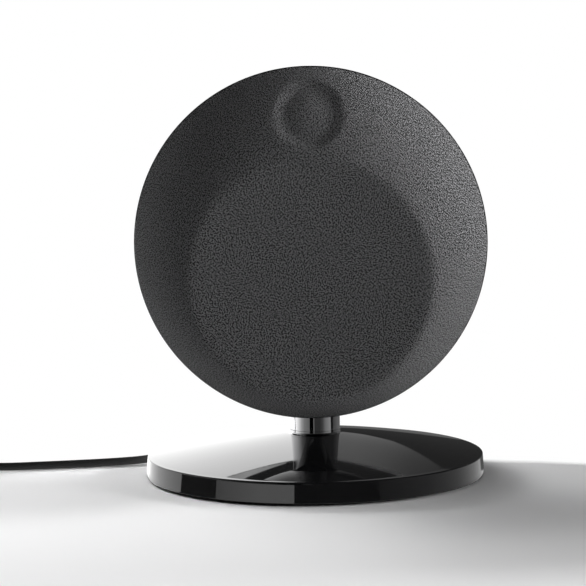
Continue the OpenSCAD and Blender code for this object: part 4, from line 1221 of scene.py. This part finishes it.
@dataclass
class Grille:
    """The stretched cloth: a flat round field, a crease, a steeper cap and a tweeter recess, in millimetres."""

    crease_r: float = 48.2
    cloth_r: float = 70.6
    rise: float = 19.0
    foot: float = 0.6
    sink: float = 1.5
    thickness: float = 0.8
    soft: float = 2.2
    recess_r: float = 14.6
    bump_r: float = 9.2
    recess_sink: float = 1.6
    bump_h: float = 0.7
    swell: float = 0.5
    edge_drop: float = 0.22
    edge_share: float = 0.9975
    tuck_share: float = 0.986
    sides: int = 256
    spans: int = 64
    field_rings: int = 26
    bias: float = math.radians(45)

    def recess(self, x: float, y: float) -> float:
        """Gives how far the cloth sinks at a place near the tweeter."""
        d = math.hypot(x, y - HEAD.tweeter_up)
        c = max(0.0, min(1.0, (self.recess_r - d) / (self.recess_r - self.bump_r)))
        eased = c * c * (3 - 2 * c)
        return self.recess_sink * eased - self.bump_h * (1 - (min(d, self.bump_r) / self.bump_r) ** 2)

    def ring(self, s: float) -> Pair:
        """Gives the centre height and the radius of ring s: 0 to 1 in the field, 1 to 2 on the cap."""
        if s <= 1:
            return HEAD.woofer_up, self.crease_r * s
        return HEAD.woofer_up * (2 - s), self.crease_r + (self.cloth_r - self.crease_r) * (s - 1)

    def height(self, s: float) -> float:
        """Gives the height of ring s before the crease is softened."""
        if s <= 1:
            return self.rise - self.sink * (1 - s * s)
        t = min(1.0, s - 1)
        return self.foot + (self.rise - self.foot) * (1 - t) * (1 + self.swell * t)

    def point(self, s: float, a: float, drop: float) -> Vector:
        """Gives a point of the cloth in the head's own axes.

        Args:
            s: ring.
            a: angle in radians.
            drop: depth below the outer face.

        Returns:
            The point: x, up and forward.
        """
        up, r = self.ring(s)
        x, y = r * math.cos(a), up + r * math.sin(a)
        z, nudge = self.height(s), 1e-4
        wide = self.cloth_r - self.crease_r - HEAD.woofer_up * math.sin(a)
        off = (s - 1) * (wide if s > 1 else self.crease_r)
        if abs(off) < self.soft:
            low, high = 1 - self.soft / self.crease_r, 1 + self.soft / wide
            u = (off + self.soft) / (2 * self.soft)
            first, last = self.height(low), self.height(high)
            slope_in = (self.height(low + nudge) - first) / (nudge * self.crease_r) * 2 * self.soft
            slope_out = (self.height(high + nudge) - last) / (nudge * wide) * 2 * self.soft
            z = ((2 * u ** 3 - 3 * u * u + 1) * first + (u ** 3 - 2 * u * u + u) * slope_in
                 + (3 * u * u - 2 * u ** 3) * last + (u ** 3 - u * u) * slope_out)
        z = max(z - self.recess(x, y), self.foot) if s > 1 else z
        return Vector((x, y, z - drop))

    def rings(self) -> list[float]:
        """Gives the rings of the outer face, closer together at the crease."""
        inside = [k / self.field_rings for k in range(1, self.field_rings)]
        near = [1 + d for d in (-0.03, -0.02, -0.01, 0, 0.02, 0.04, 0.06, 0.08, 0.1)]
        outside = [1 + k / self.spans for k in range(8, self.spans + 1)]
        return sorted(set(inside[:-1] + near + outside))

    def cloth(self) -> Piece:
        """Makes the cloth as a closed thin sheet with a flat map."""
        rings, n = self.rings(), self.sides
        middle = Vector((0, HEAD.woofer_up, self.rise - self.sink))
        rows: list[list[Vector]] = []
        runs: list[list[float]] = []
        angles = [2 * math.pi * k / n for k in range(n)]
        for s in rings:
            rows.append([self.point(s, a, 0) for a in angles])
            before = rows[-2] if len(rows) > 1 else [middle] * n
            grown = runs[-1] if runs else [0.0] * n
            runs.append([g + (p - q).length for g, p, q in zip(grown, rows[-1], before)])
        hem = [[Vector((p.x * share, p.y * share, self.foot - self.edge_drop)) for p in rows[-1]]
               for share in (self.edge_share, self.tuck_share)]
        back = [[self.point(s, a, self.thickness) for a in angles] for s in reversed(rings[:-1])]
        for p in (p for row in back[:6] for p in row):
            scale = min(1.0, (self.cloth_r - self.thickness) / math.hypot(p.x, p.y))
            p.x, p.y = p.x * scale, p.y * scale
        loops = [*rows, *hem, *back]
        run_rows = [*runs, *[[v + 0.5 * (k + 1) for v in runs[-1]] for k in range(2)], *reversed(runs[:-1])]
        points = [HEAD.at(*p) for row in loops for p in row] + [HEAD.at(*middle)]
        points.append(HEAD.at(middle.x, middle.y, middle.z - self.thickness))
        flat = [(run * math.cos(a + self.bias) * MM, run * math.sin(a + self.bias) * MM)
                for row in run_rows for run, a in zip(row, angles)] + [(0.0, 0.0), (0.0, 0.0)]
        front, rear, last = len(points) - 2, len(points) - 1, (len(loops) - 1) * n
        faces = [[a, d, c, b] for a, b, c, d in skin(len(loops), n)]
        faces += [[front, k, (k + 1) % n] for k in range(n)] + [[rear, last + (k + 1) % n, last + k] for k in range(n)]
        return flatten(outward(piece_from("grille_knit", points, faces, CLOTH, crisp=80)), flat)

    def build(self) -> None:
        cloth = self.cloth()
        seat(cloth, Body.GRILLE, "grille_cloth", "grille_cloth")


# Drivers, seen when the grille is off


@dataclass(frozen=True)
class ScrewSet:
    """The screws of one node, on a circle of the baffle, in millimetres and degrees."""

    name: str
    stands_for: str
    circle: float
    up: float
    forward: float
    angles: tuple[int, ...]
    head_r: float
    head_h: float
    shank_r: float
    shank: float
    seed: int

    def screw(self) -> Piece:
        """Makes one pan-head screw with a cross recess, pointing up from its seat at the origin."""
        edge, crown, recess_foot = 0.35 * self.head_h, 0.65 * self.head_h, 0.45 * self.head_h
        arm, half = 0.58 * self.head_r, 0.13 * self.head_r
        profile = [(0.0, -self.shank), (self.shank_r, -self.shank), (self.shank_r, 0.0), (self.head_r, 0.0),
                   *arc(range(0, 90, 15), self.head_r, crown, (0.0, edge)), (0.0, self.head_h)]
        body = outward(turned("screw_pattern", profile, ZINC, upright, sides=40))
        cross = [(arm, -half), (arm, half), (half, half), (half, arm), (-half, arm), (-half, half), (-arm, half),
                 (-arm, -half), (-half, -half), (-half, -arm), (half, -arm), (half, -half)]
        return cut(body, prism("cross_tool", cross, recess_foot, self.head_h * 2, ZINC, upright))

    def build(self) -> None:
        """Sets the screws on the baffle."""
        seats = [HEAD.at(x, up, self.forward) for x, up in arc(self.angles, self.circle, centre=(0.0, self.up))]
        piece = Trees.fixings(self.name, seats, self.screw(), (math.pi / 2, 0, 0), ZINC, self.seed)
        seat(piece, Body.HEAD, "zinc_steel", self.stands_for)


SQUARE, TRIANGLE = (45, 135, 225, 315), (30, 150, 270)
SCREWS = (
    ScrewSet("baffle_fixings", "baffle_screws", 63.5, 0.0, -2.35, SQUARE, 2.9, 1.9, 1.25, 12, seed=3),
    ScrewSet("woofer_fixings", "woofer_screws", 44.8, HEAD.woofer_up, 2.02, SQUARE, 2.4, 1.7, 1.3, 6, seed=5),
    ScrewSet("tweeter_fixings", "tweeter_screws", 11.4, HEAD.tweeter_up, 0.02, TRIANGLE, 1.2, 0.6, 0.7, 5, seed=7))


@dataclass
class Drivers:
    """What shows on the baffle: the woofer's surround and spider and the screws, in millimetres."""

    basket_r: float = 41.8
    cone_r: float = 34.0
    flange: float = 2.0
    roll_r: float = 2.7
    roll_mid: float = 37.3
    roll_wall: float = 0.6
    spider_inner: float = 13.4
    spider_outer: float = 26.8
    spider_back: float = -15.65
    spider_wall: float = 0.45
    waves: int = 4
    wave_h: float = 0.76

    def spider(self) -> Piece:
        """Makes the corrugated cloth disc that centres the coil."""
        spans, fade = 80, 8
        crest = [(self.spider_inner + (self.spider_outer - self.spider_inner) * k / spans,
                  self.spider_back + self.wave_h * min(1.0, fade * k / spans, fade - fade * k / spans)
                  * math.sin(2 * math.pi * self.waves * k / spans)) for k in range(spans + 1)]
        profile = crest + [(r, h + self.spider_wall) for r, h in reversed(crest)]
        return turned("woofer_centring", profile, RESIN_CLOTH, HEAD.on_axis(HEAD.woofer_up), sides=144, ring=True)

    def surround(self) -> Piece:
        """Makes the rubber half roll round the cone."""
        base, rim, lip = self.flange + 0.1, self.basket_r + 0.25, self.cone_r - 2.4
        under, rim_top, lip_top = base - 0.05, base + 0.55, base + 0.6
        outer = arc(range(6, 180, 6), self.roll_r, centre=(self.roll_mid, base))
        inner = arc(range(180, -1, -6), self.roll_r - self.roll_wall, centre=(self.roll_mid, base))
        profile = [(rim, under), (rim, rim_top), *outer, (lip, lip_top), (lip, under), *inner]
        return turned("woofer_roll", profile, RUBBER, HEAD.on_axis(HEAD.woofer_up), sides=160, ring=True)

    def build(self) -> None:
        """Makes the surround, the spider and the screws."""
        seat(outward(self.surround()), Body.HEAD, "rubber", "woofer_surround")
        seat(outward(self.spider()), Body.HEAD, "spider_cloth", "woofer_spider")
        for screws in SCREWS:
            screws.build()


@dataclass
class Wadding:
    """The loose fibre in the shell, in millimetres and degrees."""

    top_r: float = 68.0
    depth: float = 79.0
    first: float = 25.0
    last: float = 155.0
    front: float = 21.0
    length: float = 32.0
    gap: float = 0.4
    thickness: float = 7.4
    tuft: float = 0.7
    rows: int = 40
    spans: int = 16

    def build(self) -> None:
        along, across, slant = 3.1, 1.7, 2.3
        section = []
        for j in range(self.spans + 1):
            d = self.front + self.length * j / self.spans
            section.append((self.top_r * math.sqrt(1 - (d / self.depth) ** 2) - self.gap, d))
        points: list[Vector] = []
        for i in range(self.rows + 1):
            a = math.radians(self.first + (self.last - self.first) * i / self.rows)
            inner = [(r - self.thickness - self.tuft * math.sin(along * i + across * j) * math.cos(slant * j + i), d)
                     for j, (r, d) in enumerate(reversed(section))]
            points += [HEAD.at(r * math.cos(a), r * math.sin(a), -d) for r, d in section + inner]
        n = 2 * (self.spans + 1)
        faces = [*skin(self.rows + 1, n), list(range(n)), [self.rows * n + k for k in range(n)][::-1]]
        piece = outward(piece_from("shell_wadding", points, faces, FIBRE, crisp=60))
        seat(piece, Body.HEAD, "wadding", "wadding")


def dress_nodes() -> None:
    """Gives every CAD node that stays its finish."""
    for finish, names in NODE_FINISH.items():
        for name in names:
            materials = frame["nodes"][name].data.materials
            materials.clear()
            materials.append(finish.build())
        LOG.info("%s: %s", finish.name, ", ".join(names))


def main() -> None:
    """Builds the scene in order."""
    logging.basicConfig(level=logging.INFO, format="%(name)s: %(message)s")
    for part in (Viewpoint(), Lead(), Base(), Stem(), Shell(), Grille(), Drivers(), Wadding()):
        part.build()
    dress_nodes()
    Studio().build()


if __name__ == "__main__":
    main()
